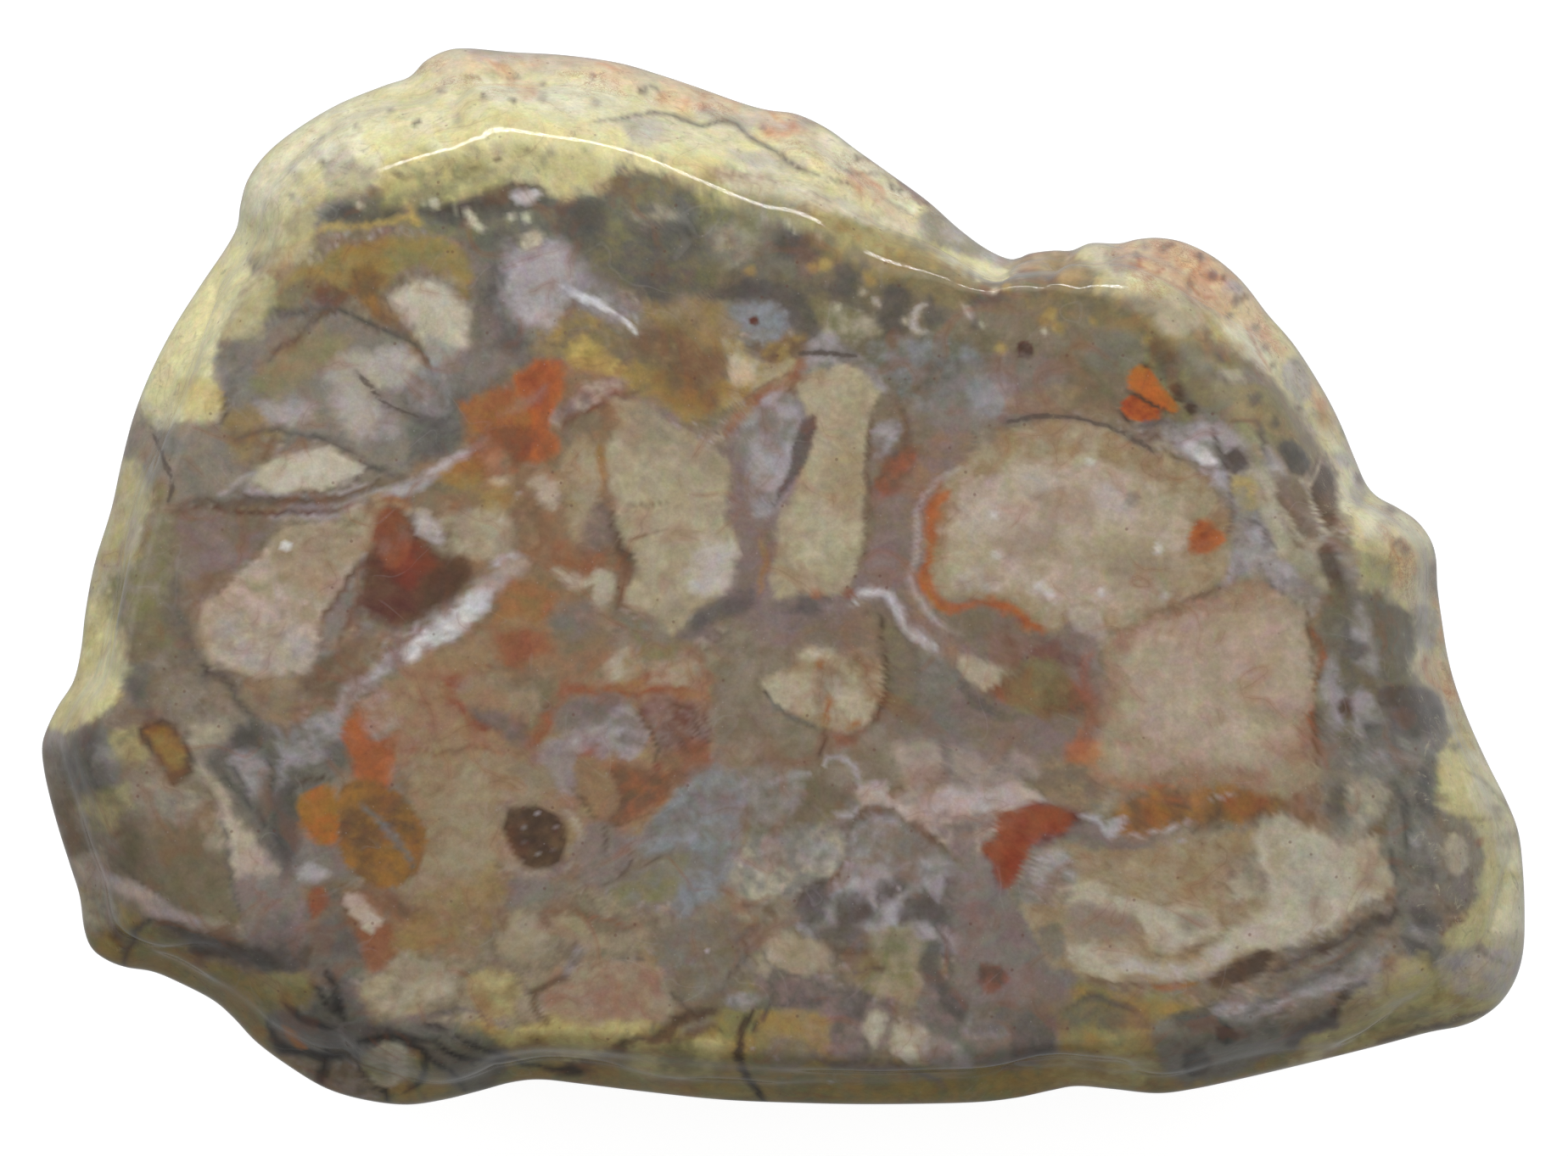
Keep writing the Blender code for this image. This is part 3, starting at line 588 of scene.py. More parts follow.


# All marks, in the order in which they are laid. A patch is a soft-edged area, a stroke a line that
# tapers, spots are round and a line is a fine crack. Each has its first and its mottling tone, then for
# a patch softness, strength and wobble, for strokes and spots width or radius, softness, strength and
# wobble, and for a line width and strength, with the last ones left out where they are the usual ones.
# Dark band beside the lavender patch, the patch itself and the painted highlight streak on it
# Painted highlight: white strokes for a streak of reflected light on the lavender patch
# Painted shade: a mauve patch beside the lower right of the upright clast
MARKS = """
# Olive and grey skin down the left rim, with a lilac stripe and butter lobes
patch warm_grey drab 12: 40 860 80 700 130 540 170 460 300 480 300 540 240 600 210 640 220 760 260 800 300
840 320 920 300 1000 240 1100 120 1060 60 960
patch moss olive 10 .75: 150 530 190 530 210 600 200 690 204 760 160 760 140 690 150 600
patch butter straw 6 .95: 92 744 112 728 132 738 140 770 132 800 136 822 124 842 98 850 60 862 40 850 70
800
patch smoke slate 8 .8: 132 772 150 776 176 780 184 800 170 822 140 812; 150 800 176 820 180 846 164 842
patch smoke drab 8 .6: 196 516 214 520 216 560 204 580 196 550; 180 690 210 690 226 760 250 790 240 806
210 770
# Smoky cloud, brown-ringed eye and yellow smear under the butter lobe
patch smoke slate 10 .85: 74 890 96 856 120 852 134 880 140 912 126 940 96 936 74 916
patch lilac grey 7 .45: 50 880 66 862 78 870 74 920 62 920; 110 880 136 884 140 920 124 930
patch moss straw 8 .6: 130 866 166 858 176 890 160 906 136 896; 100 940 150 930 140 970 104 980
patch umber brown 4 .9: 160 862 176 848 196 850 214 868 226 886 230 904 216 918 204 928 196 914 188 894
176 880 164 872
patch amber gold 4 .75: 172 862 190 856 208 872 219 890 214 906 204 908 194 890 182 876
patch grey bone 10 .6: 220 850 270 850 290 890 260 920 236 910; 180 900 200 930 240 940 250 960 200 960
170 940
patch straw bone 9 .8: 104 560 160 540 176 600 160 660 130 700 96 740 100 660
patch custard butter 9 .6: 96 800 130 776 144 740 150 790 130 830 104 846
# Bluish scraps, cream wedge and the bent brown veins round it
stroke drab brown 18 6 .85: 196 608 240 600 300 594 350 594 400 592 442 576 484 562
stroke umber maroon 5 3 .75: 204 606 236 596 262 604 310 608 350 606 396 601 436 586; 232 592 250 586; 290
585 340 583 362 580 390 588 420 580
stroke milk lilac 8 4 .6: 304 616 340 609 372 608 404 604 450 586 492 568 520 560
# Long oval clast with its darker, veined upper corner
patch mauve drab 8 .9: 204 608 250 602 310 612 334 620 300 654 270 684 240 708 224 700 214 660
patch beige pink 6: 232 736 238 712 262 690 286 666 306 646 322 630 348 618 384 612 424 604 446 610 440
640 426 658 410 682 394 704 382 722 376 744 372 772 360 788 338 797 308 802 278 796 254 780 238 760
patch tan beige 14 .7: 330 630 380 616 436 616 420 654 396 690 350 700 320 680
patch lilac bone 12 .6: 246 740 300 720 360 740 366 776 330 790 280 788 256 770
stroke drab olive 6 3 .7: 252 702 272 682 296 660 312 636 334 623 366 614
stroke smoke drab 8 4 .75: 200 604 196 634 206 668 205 700 212 730 226 766 248 792 270 800
# Rust flank of the dark-red wedge, grey lens, brown pocket and the pale band below
patch rust amber 8 .8: 430 600 462 582 484 590 500 640 470 660 444 670 428 650
patch mauve grey 6 .8: 380 740 396 706 416 690 428 700 420 724 400 750 384 756
stroke brown maroon 7 3 .7: 442 650 416 676 398 704 380 728 376 750; 430 690 420 716 406 744 400 760
patch smoke drab 8 .7: 424 700 470 706 480 730 450 742 426 736
patch brown drab 8 .85: 350 796 376 780 408 758 432 742 446 760 428 790 398 826 372 830 356 814
patch tan drab 10 .8: 280 800 346 802 356 840 324 856 296 836
stroke mauve milk 17 7 .75: 380 856 410 824 446 790 480 764 512 746
stroke umber smoke 12 6 .8: 240 784 266 806 284 832 304 866 304 900
# Rounded tan clast, the pinkish one beside it and the pale streak from the rim
patch drab olive 8 .9: 140 996 160 978 196 970 230 972 254 940 264 1000 268 1050 284 1090 260 1100 224
1084 196 1062 170 1042 146 1018
patch bone tan 6 .5: 236 960 256 960 260 1000 240 996; 196 1066 240 1080 270 1090 250 1096 210 1086
patch pink bone 6 .9: 252 922 276 938 282 966 302 990 322 1006 338 1026 330 1040 298 1042 274 1030 264 996
256 960
patch grey mauve 8 .8: 276 1036 340 1030 356 1060 350 1100 300 1110 284 1080
stroke smoke 6 3 .75: 256 946 264 980 268 1014 276 1050 286 1092
stroke pink lilac 19 6 .85: 86 1018 126 1034 166 1054 200 1076 240 1094
stroke umber drab 5 3 .7: 90 990 110 1000 140 1016 170 1044 210 1068 240 1082
patch smoke umber 9 .9: 190 1086 240 1100 280 1108 340 1110 380 1090 392 1120 370 1146 320 1150 280 1138
230 1122
patch mauve smoke 8 .6: 300 1080 350 1080 360 1110 310 1116
# Dark net of blue-grey swirls between the eye and the gold chips
patch slate smoke 9 .85: 270 860 300 850 330 860 400 860 400 920 350 940 350 1000 352 1040 320 1010 290
970 262 930 250 890
patch grey lilac 6 .75: 272 886 300 880 312 910 300 940 280 920; 334 862 370 866 380 890 350 906 334 890;
360 850 400 840 400 870 370 874
stroke blue_grey lilac 9 5 .6: 318 852 330 880 334 910 322 944
stroke dark_slate 7 3 .7: 252 900 276 926 300 956 322 986 348 1020; 276 906 292 932; 300 870 316 900 320
940
patch dark_slate smoke 7 .75: 276 858 300 860 300 884 280 884; 316 940 352 924 352 1000 330 1010 318 980
stroke umber 5 2 .8: 344 930 368 919 396 918
# Two gold chips, the larger with a blue-grey streak, and the orange clast over them
patch orange rust 6 .85: 404 870 416 840 430 836 440 870 460 862 476 850 470 880 460 924 436 924 418 920
patch pink salmon 6 .85: 424 836 452 812 476 800 480 840 462 860 440 862
# Mauve lens, rust patches and the pink chip under the gold ones
patch mauve grey 7 .8: 350 1000 396 998 404 1020 390 1044 352 1044
patch milk lilac 5 .8: 352 1022 372 1020 388 1030 376 1042 356 1038
patch drab smoke 8 .8: 360 1046 392 1044 400 1090 396 1120 368 1100
patch rust red 5 .75: 362 1052 382 1046 386 1066 370 1080
patch fawn brown 9 .85: 404 1040 450 1056 490 1040 520 1080 500 1140 450 1140 420 1120 404 1080
patch rust 8 .55: 420 1096 460 1090 470 1120 440 1150 426 1130
patch pink bone 3 .9: 404 1058 420 1054 436 1068 447 1086 438 1097 424 1090 410 1076
patch bone pink 8 .6: 90 1010 120 1004 130 1040 96 1046
# Tan and salmon ground round the eye
patch salmon tan 14: 470 780 560 760 640 760 760 780 840 800 850 880 800 940 760 980 700 1000 560 1000 500
960 470 900 460 860
patch tan beige 14 .9: 480 900 560 890 620 900 640 940 590 1000 560 1060 500 1060 470 1040 500 990
patch beige olive 8 .7: 580 784 620 776 648 790 650 836 630 864 610 850 600 820 570 806; 690 770 712 772
712 810 694 812
patch cream tan 8 .6: 780 778 818 776 822 800 790 816 770 806; 716 776 740 770 764 776 740 800 720 800
patch gold fawn 12 .6: 500 1060 540 1040 580 1020 600 1050 580 1090 560 1140 520 1150 470 1150 470 1100
stroke rust red 12 6 .75: 650 764 610 772 574 778 546 790 530 812 530 836; 560 784 600 780
stroke red rust 12 7 .75: 536 826 560 848 588 862; 652 824 664 812 690 816 720 818; 656 830 640 850 626
872 622 884
stroke rust amber 12 6 .6: 716 812 750 806 776 796 790 800; 760 816 800 818 820 834
patch mauve smoke 8 .75: 556 830 590 838 620 860 616 880 590 866 566 850
patch slate mauve 8 .8: 652 836 680 824 708 816 742 820 740 842 700 850 664 860
patch mauve lilac 10 .85: 650 868 690 850 736 852 744 884 700 900 680 930 650 920 640 890
patch grey lilac 4 .75: 716 840 740 832 756 848 762 876 744 892 722 884 714 862
patch brown rust 10 .8: 692 880 716 900 740 896 790 912 780 950 750 966 720 972 700 950 684 920
patch tan fawn 6 .75: 682 904 706 892 722 914 724 950 712 966 694 950 682 930
stroke umber brown 4 3 .7: 672 926 690 946 706 968 722 974 760 964
patch maroon mauve 8 .8: 756 828 800 820 832 840 838 872 810 892 780 880 764 856
stroke umber 5 3 .75: 750 832 762 858 776 880 774 906; 790 826 814 838 818 862 838 876
spots red maroon 5 4 .6: 812 834 570 858 644 832 776 900
# Dark eye with its pale and mauve rings
patch mauve tan 8 .7: 590 950 640 936 680 960 692 1000 680 1030 650 1046 614 1040 590 1010
stroke bone mauve 11 4 .75: 664 950 678 972 680 1000 670 1020 650 1032 620 1036 604 1018 596 1000
patch umber brown 4 .97: 602 952 624 948 644 952 660 964 665 986 664 1008 648 1022 626 1024 610 1010 600
992 590 974
patch mauve grey 6 .7: 600 1040 650 1036 664 1060 640 1080 610 1072
patch grey mauve 8 .8: 690 980 716 972 740 990 750 1024 720 1044 690 1044 684 1010
stroke umber 4 3 .6: 712 974 716 992 710 1010; 740 1000 746 1020 730 1036 700 1046; 760 1022 800 1000
# Lavender sheet, olive slip and the beige lens under the eye
patch grey blue_grey 10 .95: 800 930 830 905 880 905 880 960 870 1000 850 1050 820 1080 790 1070 800 1010
760 1010 740 990 770 970
stroke slate mauve 14 7 .7: 740 1000 770 976 800 962 836 940 870 930
patch moss grey 7 .85: 720 1050 760 1028 806 1004 806 1030 790 1060 750 1060 716 1070
patch beige drab 10 .85: 580 1084 640 1062 700 1056 760 1070 800 1090 780 1120 700 1130 640 1150 590 1130
patch beige bone 7 .6: 590 1100 620 1084 650 1096 640 1130 600 1130; 690 1140 730 1130 760 1140 740 1160
700 1160
stroke drab umber 4 3 .5: 670 1050 710 1068 750 1086
patch brown rust 9 .6: 790 884 830 876 840 910 806 926 786 910
patch mauve drab 10 .5: 610 880 660 880 680 920 640 930 606 916
stroke rust brown 5 4 .6: 486 880 520 890 560 880 600 892; 480 816 500 830 524 826; 640 1070 700 1080 740
1096
stroke red rust 6 4 .6: 600 776 640 782 680 770 716 776; 690 800 740 818 800 812 836 826
patch slate mauve 8 .6: 664 836 700 826 730 836 720 850 680 858
# Yellow-olive rim along the foot of the face with drab and mauve ground over it
patch gold moss 12: 60 1050 130 1060 180 1090 230 1125 300 1156 380 1150 360 1180 320 1200 340 1250 420
1300 600 1300 760 1310 1000 1320 1240 1310 1420 1300 1640 1260 1640 1200 1500 1230 1400 1180 1250 1170
1200 1240 1100 1250 960 1240 900 1160 840 1190 700 1210 600 1200 500 1230 400 1320 200 1240 40 1150
patch straw gold 10 .85: 640 1196 690 1190 760 1200 740 1230 700 1256 660 1250 636 1226; 700 1262 780 1236
850 1222 866 1260 880 1290 780 1300 700 1290; 560 1200 610 1196 640 1212 620 1236 580 1226
patch straw moss 7 .5: 1300 1214 1360 1208 1362 1240 1330 1244 1304 1234; 312 1154 366 1150 350 1168 314
1176
stroke umber smoke 10 4 .85: 100 1056 120 1072 134 1096 146 1120; 182 1080 160 1096 150 1116 146 1146
# Pink and beige lenses between the foot's brown bands
patch salmon beige 9 .9: 640 1150 690 1130 760 1136 800 1160 780 1196 700 1206 650 1200
patch grey drab 8 .8: 770 1100 860 1080 900 1100 870 1160 850 1190 800 1190 780 1150; 800 1196 846 1200
830 1216 804 1222
patch beige drab 6: 424 1168 446 1146 470 1128 500 1124 560 1130 620 1142 640 1160 626 1180 630 1204 590
1212 550 1196 500 1192 440 1198
patch bone beige 12 .6: 440 1160 480 1134 520 1140 540 1170 500 1186 450 1184
stroke umber brown 10 4 .8: 674 1130 664 1150 644 1158 630 1172 628 1192 642 1202
stroke slate lilac 14 5 .6: 690 1118 676 1136 664 1148
stroke brown umber 22 6 .9: 640 1262 700 1258 740 1240 780 1222 796 1200 850 1190
stroke umber maroon 12 5 .7: 720 1252 770 1238 806 1226 836 1212
stroke umber 4 3 .6: 790 1170 806 1184 820 1196; 850 1170 860 1150 882 1126 876 1108 890 1098; 836 1208
850 1214 852 1236
# Black and blue swirl with orange fleck and pale kernel
patch slate smoke 8 .85: 360 1100 410 1090 430 1130 420 1170 440 1200 520 1206 600 1240 560 1290 480 1240
400 1250 330 1240 316 1200 370 1190
patch bone moss 5 .95: 430 1242 450 1230 476 1238 488 1256 476 1274 450 1282 432 1266
stroke orange amber 11 3 .95: 334 1210 346 1224 360 1236
stroke black 11 4 .85: 316 1200 322 1222 342 1238 372 1244 420 1240; 330 1180 350 1196 366 1204 398 1214;
424 1226 450 1222 480 1230 500 1248 494 1272 476 1288; 384 1236 380 1262 376 1284; 384 1140 394 1170 404
1204; 452 1284 454 1300
stroke black 5 3 .8: 424 1226 422 1250 434 1274 450 1288; 366 1158 386 1182 404 1200; 440 1210 490 1224
540 1246 600 1252; 476 1200 520 1212 560 1234 620 1254 700 1264; 500 1246 530 1262 552 1286; 506 1222 530
1242 560 1256
stroke mauve smoke 8 4 .7: 450 1204 500 1196 560 1192 600 1216
# Black sickle, olive lens and mauve net under the tent
patch mauve smoke 8 .85: 890 1150 960 1150 1000 1160 1040 1150 1050 1200 1020 1250 980 1240 960 1200 900
1190
patch lilac slate 4 .8: 856 1176 880 1170 904 1180 900 1190 866 1190
patch tan gold 6 .8: 912 1206 940 1192 974 1200 980 1226 960 1240 920 1236 900 1224
patch grey drab 5 .7: 900 1232 930 1224 960 1236 950 1256 910 1260
patch cream beige 5 .8: 1030 1150 1060 1136 1090 1150 1076 1180 1050 1176; 1030 1190 1044 1196 1034 1236
1018 1216; 1052 1210 1080 1204 1096 1230 1090 1256 1060 1250
stroke black umber 12 3 .92: 892 1188 876 1212 870 1244 876 1266 890 1284 904 1300
stroke umber smoke 7 3 .85: 908 1176 902 1198 888 1218; 700 1262 690 1270
stroke smoke mauve 12 5 .75: 950 1246 1000 1256 1060 1260 1110 1276
patch moss gold 9 .8: 700 1250 780 1240 860 1240 866 1270 880 1292 760 1290 700 1280
patch gold straw 8 .6: 560 1150 600 1150 616 1176 590 1200 560 1190; 1230 1240 1290 1236 1340 1244 1370
1266 1330 1280 1250 1276
# Brown and mauve ground, cream core with amber seams and dark corners
patch warm_grey drab 14: 850 760 960 740 1090 760 1150 800 1150 900 1060 920 960 940 880 930 840 880
patch mauve drab 8 .8: 1040 780 1078 780 1080 850 1040 860
patch tan bone 4 .97: 898 806 924 788 946 768 980 762 1030 768 1046 796 1040 832 1026 856 1000 862 974 858
952 850 926 840 910 826
patch bone parchment 8 .7: 900 806 926 792 950 800 956 830 936 838 914 826; 1000 800 1020 812 1016 846 992
846
patch grey drab 8 .4: 960 790 984 780 992 800 980 822 962 826
stroke slate umber 6 3 .85: 896 800 908 822 922 838 944 852 962 858
stroke umber maroon 9 4 .8: 1034 766 1046 786 1048 806 1040 834 1030 858
stroke amber rust 8 4 .85: 978 818 976 836 974 856; 998 856 1014 852; 962 788 966 780
patch rust brown 6 .6: 984 862 1024 858 1012 874 990 878
stroke umber 5 2 .8: 976 858 970 880 962 898
# Rounded grey clast and milky bands over the tent-shaped one
patch drab olive 9 .9: 900 930 960 920 1000 940 990 960 940 980 890 990 870 960
patch grey bone 9: 868 1000 900 980 960 970 996 990 980 1030 930 1060 880 1060 860 1030
patch grey lilac 6 .6: 886 1010 910 984 930 990 920 1016 896 1030; 950 990 984 996 980 1016 950 1020; 870
1014 890 1020 876 1030
stroke milk lilac 6 3 .8: 906 926 930 918 956 916; 966 904 980 890 998 896 1010 910 1014 930; 984 960 1004
960 1022 948
patch milk pink 5 .9: 1010 932 1040 922 1056 944 1090 944 1120 926 1200 926 1230 946 1150 962 1100 984
1060 962 1040 948 1020 956
patch pink mauve 7 .8: 1090 966 1140 956 1180 966 1160 1000 1140 1030 1120 1000
patch grey lilac 6: 1000 978 1018 962 1046 956 1064 962 1084 978 1108 1000 1138 1030 1146 1060 1130 1120
1050 1120 990 1110 950 1100 940 1080 960 1050 986 1030
patch tan grey 9 .6: 1008 990 1030 968 1060 976 1090 1010 1080 1040 1030 1040 1004 1030
stroke umber drab 10 5 .75: 996 984 1014 962 1046 954 1066 964 1090 980 1112 1002 1138 1028
stroke umber smoke 12 6 .8: 990 1010 980 1030 954 1046 940 1064 946 1086
patch smoke umber 8 .8: 946 1050 976 1038 980 1060 960 1090 944 1080; 988 1054 1016 1058 1026 1080 1000
1094 984 1080; 1030 1046 1070 1034 1066 1050 1034 1062; 1060 1066 1090 1050 1116 1070 1120 1100 1090 1090
1064 1094; 1116 1034 1136 1044 1134 1090 1116 1080
patch slate smoke 6 .85: 1084 1112 1104 1110 1114 1150 1130 1180 1100 1170 1088 1150
stroke smoke 8 4 .7: 1100 1090 1116 1124 1126 1160 1130 1190
patch beige moss 8 .85: 1020 1100 1076 1096 1084 1140 1070 1170 1020 1170 1010 1130
patch bone beige 5 .8: 906 1112 924 1100 960 1106 976 1126 960 1150 926 1146 908 1134
patch drab umber 6 .6: 960 1096 1000 1090 1026 1108 1010 1130 980 1120; 1022 1134 1044 1136 1036 1150
stroke smoke 4 3 .7: 900 1086 876 1100 870 1118 880 1140; 912 1112 904 1130 914 1144 950 1150; 1006 1150
1030 1138
patch grey lilac 8 .5: 1010 990 1060 976 1100 1016 1090 1040 1020 1040
patch lilac pink 8 .5: 1056 936 1100 930 1110 950 1070 960
# Slate swirls, brown arch and ochre hollow at the foot's right half
patch slate mauve 8 .9: 1096 1160 1140 1160 1200 1196 1240 1200 1244 1240 1200 1256 1150 1260 1110 1240
1090 1200
patch grey lilac 6 .6: 1140 1196 1176 1200 1186 1220 1150 1226 1132 1210; 1090 1224 1130 1236 1150 1260
1110 1260 1086 1246
patch dark_slate smoke 6 .7: 1196 1200 1230 1200 1242 1224 1236 1244 1200 1250 1190 1226; 1100 1150 1120
1156 1140 1190 1120 1200
stroke umber smoke 9 4 .85: 1256 1188 1290 1178 1326 1184 1346 1196
patch slate grey 8 .9: 1360 1206 1400 1196 1440 1190 1500 1196 1508 1240 1460 1262 1400 1276 1364 1250
patch smoke dark_slate 6 .8: 1380 1196 1436 1180 1440 1206 1400 1216
patch black dark_slate 4 .8: 1394 1236 1416 1232 1430 1250 1418 1266 1398 1264; 1434 1212 1450 1208 1464
1222 1450 1232 1438 1226
stroke grey lilac 22 8 .8: 1430 1192 1480 1186 1530 1170 1580 1150 1640 1116
stroke grey drab 14 6 .7: 1470 1166 1520 1150 1570 1128 1620 1104
# Mauve-grey ground, red wedge and olive ground over the orange streak
patch mauve grey 12 .9: 1140 1000 1200 1050 1260 1100 1260 1180 1200 1200 1140 1160 1120 1080
patch mauve grey 10 .8: 1090 850 1200 840 1260 860 1240 900 1200 920 1100 930 1060 900
patch pink mauve 9 .5: 1120 890 1200 870 1230 890 1220 920 1140 930
patch drab tan 8 .85: 1240 870 1290 850 1300 900 1300 950 1250 946 1220 930
patch maroon mauve 4: 1166 996 1186 974 1204 952 1224 945 1250 950 1272 960 1272 978 1254 990 1222 998
1206 1010 1190 1044 1180 1054 1170 1040 1158 1004
patch rust red 5 .9: 1160 998 1200 992 1214 1000 1196 1020 1186 1046 1174 1038 1164 1014; 1226 956 1256
960 1254 984 1228 986
patch rust umber 5 .75: 1156 1140 1176 1140 1186 1156 1170 1170 1156 1160
# Large pale clast with bands of cream, tan and grey
patch tan beige 7: 1216 1010 1260 996 1320 990 1400 988 1500 980 1540 1000 1560 1060 1500 1110 1440 1140
1400 1156 1300 1156 1250 1146 1216 1100 1200 1060
patch grey lilac 6 .8: 1216 1012 1250 1002 1270 1024 1256 1060 1210 1068 1204 1046
patch cream bone 9 .75: 1240 1046 1290 1040 1330 1060 1380 1066 1420 1070 1440 1100 1400 1120 1360 1112
1340 1084 1260 1074; 1262 1108 1300 1120 1340 1130 1330 1150 1270 1144
patch warm_grey mauve 8 .7: 1262 1076 1300 1068 1336 1080 1340 1100 1300 1112 1262 1100; 1390 1078 1416
1076 1424 1096 1396 1104
stroke bone milk 18 7 .75: 1300 1148 1350 1140 1400 1146 1446 1122 1490 1090
stroke slate mauve 8 3 .8: 1220 1008 1212 1030 1202 1050 1200 1068
patch slate grey 5 .7: 1248 1054 1262 1050 1264 1064 1250 1068; 1230 1096 1250 1090 1256 1120 1240 1130
1226 1110
stroke drab brown 4 3 .6: 1350 1120 1380 1126 1420 1116 1450 1096; 1430 1036 1450 1050 1462 1068; 1250
1150 1300 1156 1350 1164 1400 1162
patch drab smoke 9 .6: 1150 1190 1250 1180 1350 1190 1350 1210 1240 1216 1160 1220
stroke rust amber 8 4 .8: 1356 1164 1380 1166 1408 1160
# Amber belt with its white and brown double line, orange streak and milky fork
patch amber brown 8 .85: 1320 950 1360 930 1420 922 1480 924 1520 944 1500 960 1470 972 1420 970 1390 974
1330 984 1310 970
patch rust amber 7 .7: 1350 950 1376 946 1384 966 1360 974; 1440 940 1490 936 1486 958 1450 964
stroke milk pink 3 2 .7: 1326 990 1350 980 1380 978 1408 964; 1310 986 1336 984 1356 992; 1424 940 1460
938; 1376 994 1400 990
patch mauve slate 5 .8: 1270 968 1292 970 1304 988 1300 1000 1264 998 1250 990; 1306 990 1360 986 1356
1000 1310 1002
patch milk lilac 3 .85: 1270 960 1292 962 1302 974 1316 962 1330 966 1312 986 1304 990 1290 972
patch grey bone 8 .6: 1440 1016 1490 1010 1500 1050 1460 1060
# Mottled olive and slate under the rind, with dark cells and pale shell-like scraps
patch olive drab 12 .9: 690 232 720 214 752 204 800 214 860 224 930 244 1000 268 1060 286 1110 306 1160
322 1230 340 1290 346 1340 356 1400 390 1450 440 1400 490 1330 492 1250 480 1180 480 1120 480 1060 480
1030 450 1000 416 960 400 920 350 840 340 780 340 740 340 690 330 676 290 680 250
patch slate grey 18 .65: 700 240 800 226 880 240 940 262 980 300 940 330 860 330 780 310 710 290
patch bone moss 9 .5: 840 262 872 250 900 262 890 300 850 316 836 290; 910 240 960 250 950 268 914 262
patch warm_grey drab 18 .6: 1090 330 1180 330 1260 350 1340 366 1380 410 1340 430 1240 410 1160 396 1100
380
patch dark_slate smoke 9 .75: 652 236 690 230 716 250 720 290 690 300 664 284; 738 262 766 250 796 258 790
290 760 292; 800 262 830 266 836 290 808 294; 912 280 940 270 976 276 980 300 940 308 916 298; 986 312
1004 306 1010 350 990 356; 1038 342 1054 328 1072 334 1070 362 1044 366; 1036 372 1062 366 1062 392 1040
396; 752 324 790 318 800 346 760 352; 1088 362 1108 358 1112 384 1092 386; 1130 340 1180 346 1176 364 1134
358
patch smoke olive 12 .6: 840 312 940 320 1000 340 1030 380 990 396 960 380 930 350 860 340
patch moss bone 8 .6: 950 356 1010 366 1040 388 1010 400 962 394 946 376
spots ochre gold 7 5 .7: 988 292 996 286 962 312 974 308 1022 322 1026 330 1104 300 1112 306 1098 314 884
320 1180 412 1232 380 1250 384 1240 372 1108 284 1100 276
spots bone pale 4 4 .6: 786 270 860 232 776 250 966 282 930 262 940 272 836 296 902 262 1016 344 988 362
1156 384 1136 326 1232 392 1064 376 1170 344 1300 368 1330 390
stroke milk bone 8 4 .75: 1096 356 1080 362 1074 378 1082 388 1096 392
stroke milk bone 7 4 .7: 1028 350 1034 358 1040 364; 1130 356 1138 362 1142 372 1150 384
spots maroon umber 9 2 1 3: 1206 411 1209 414
# Blue-grey and mauve ground between the band and the big clasts
patch slate blue_grey 12 .7: 1030 404 1080 396 1140 404 1150 430 1126 466 1090 480 1060 470 1030 440
patch dark_slate slate 10 .5: 1080 426 1110 416 1136 424 1120 460 1086 462
patch grey mauve 12 .75: 1130 430 1180 420 1240 424 1260 460 1240 496 1180 502 1120 510 1080 500 1100 470
patch lilac blue_grey 10 .6: 1140 450 1176 440 1200 452 1190 480 1150 488
patch tan drab 8 .6: 1190 466 1250 456 1300 470 1340 500 1280 494 1200 492
patch grey lilac 9 .85: 944 400 980 390 1010 410 1040 450 1030 470 990 468 950 450 934 430
stroke smoke 5 2 .7: 944 420 968 416 996 419
# Butter lobe and pale band of rind, with grey and purplish speckles
patch butter rind_cream 7: 60 500 130 380 260 150 430 60 500 60 500 222 455 226 420 222 385 232 352 244
336 262 340 288 316 292 290 306 296 330 282 356 262 388 252 420 254 450 258 476 250 496 214 502 192 492
patch rind_cream pale 16 .7: 250 290 285 220 380 110 470 60 500 60 500 175 420 190 360 200 320 220 290 260
patch moss straw 9 .55: 340 240 372 222 420 205 480 196 540 192 620 190 650 204 600 214 540 222 500 212
440 226 390 236 356 250
stroke umber 9 2 .95: 264 462 262 476 266 488
# Slate band under the rind, with the ochre line below it
patch slate moss 9 .95: 352 276 352 258 380 242 410 230 440 230 474 228 500 226 530 230 560 236 600 218
650 212 664 226 684 234 720 212 780 200 850 215 850 330 700 330 660 300 620 300 590 300 560 290 520 276
470 266 420 264 380 270
patch dark_slate smoke 8 .8: 378 254 392 242 418 238 446 246 462 244 474 252 450 262 410 262 388 266; 490
250 520 238 560 238 600 232 640 236 650 246 600 252 560 262 520 260
patch white milk 4 .8: 606 226 628 222 640 232 622 242 606 238
spots pale 4 4 .6: 556 262 536 250 600 256 570 270 425 240 500 240
stroke ochre gold 7 4 .75: 348 284 372 276 400 268 430 264 462 262 484 256 500 262; 476 236 484 248 490
262
# Golden arcs over the fan
patch moss olive 9 .7: 300 350 330 330 360 318 400 330 410 350 370 350 330 368 300 380 280 384
patch gold moss: 332 336 356 316 384 300 420 288 460 280 500 272 530 282 552 304 558 340 548 352 532 330
500 312 470 318 452 344 430 352 400 340 370 328
stroke gold amber 14 7 .55: 366 318 390 304 420 294 452 288 490 286
patch amber brown 7 .8: 418 318 440 318 450 332 446 350 462 372 480 392 470 392 440 372 420 356 410 336
patch brown maroon 8 .75: 366 346 384 334 404 338 410 358 390 366 370 362
patch cream bone 9: 464 352 474 338 490 332 508 330 528 338 542 352 552 370 556 390 548 412 532 424 512
428 498 412 484 390 474 368
patch blue_grey grey 10 .7: 496 396 520 398 548 412 544 440 532 464 512 440 500 420
patch smoke slate 9 .75: 556 330 576 300 596 310 590 360 604 400 640 430 600 440 570 440 556 420 562 390
patch mauve grey 12 .7: 540 420 600 400 620 420 580 450 540 470 520 490 520 460
# Fan of grey, tan and pale blue between two dark arcs
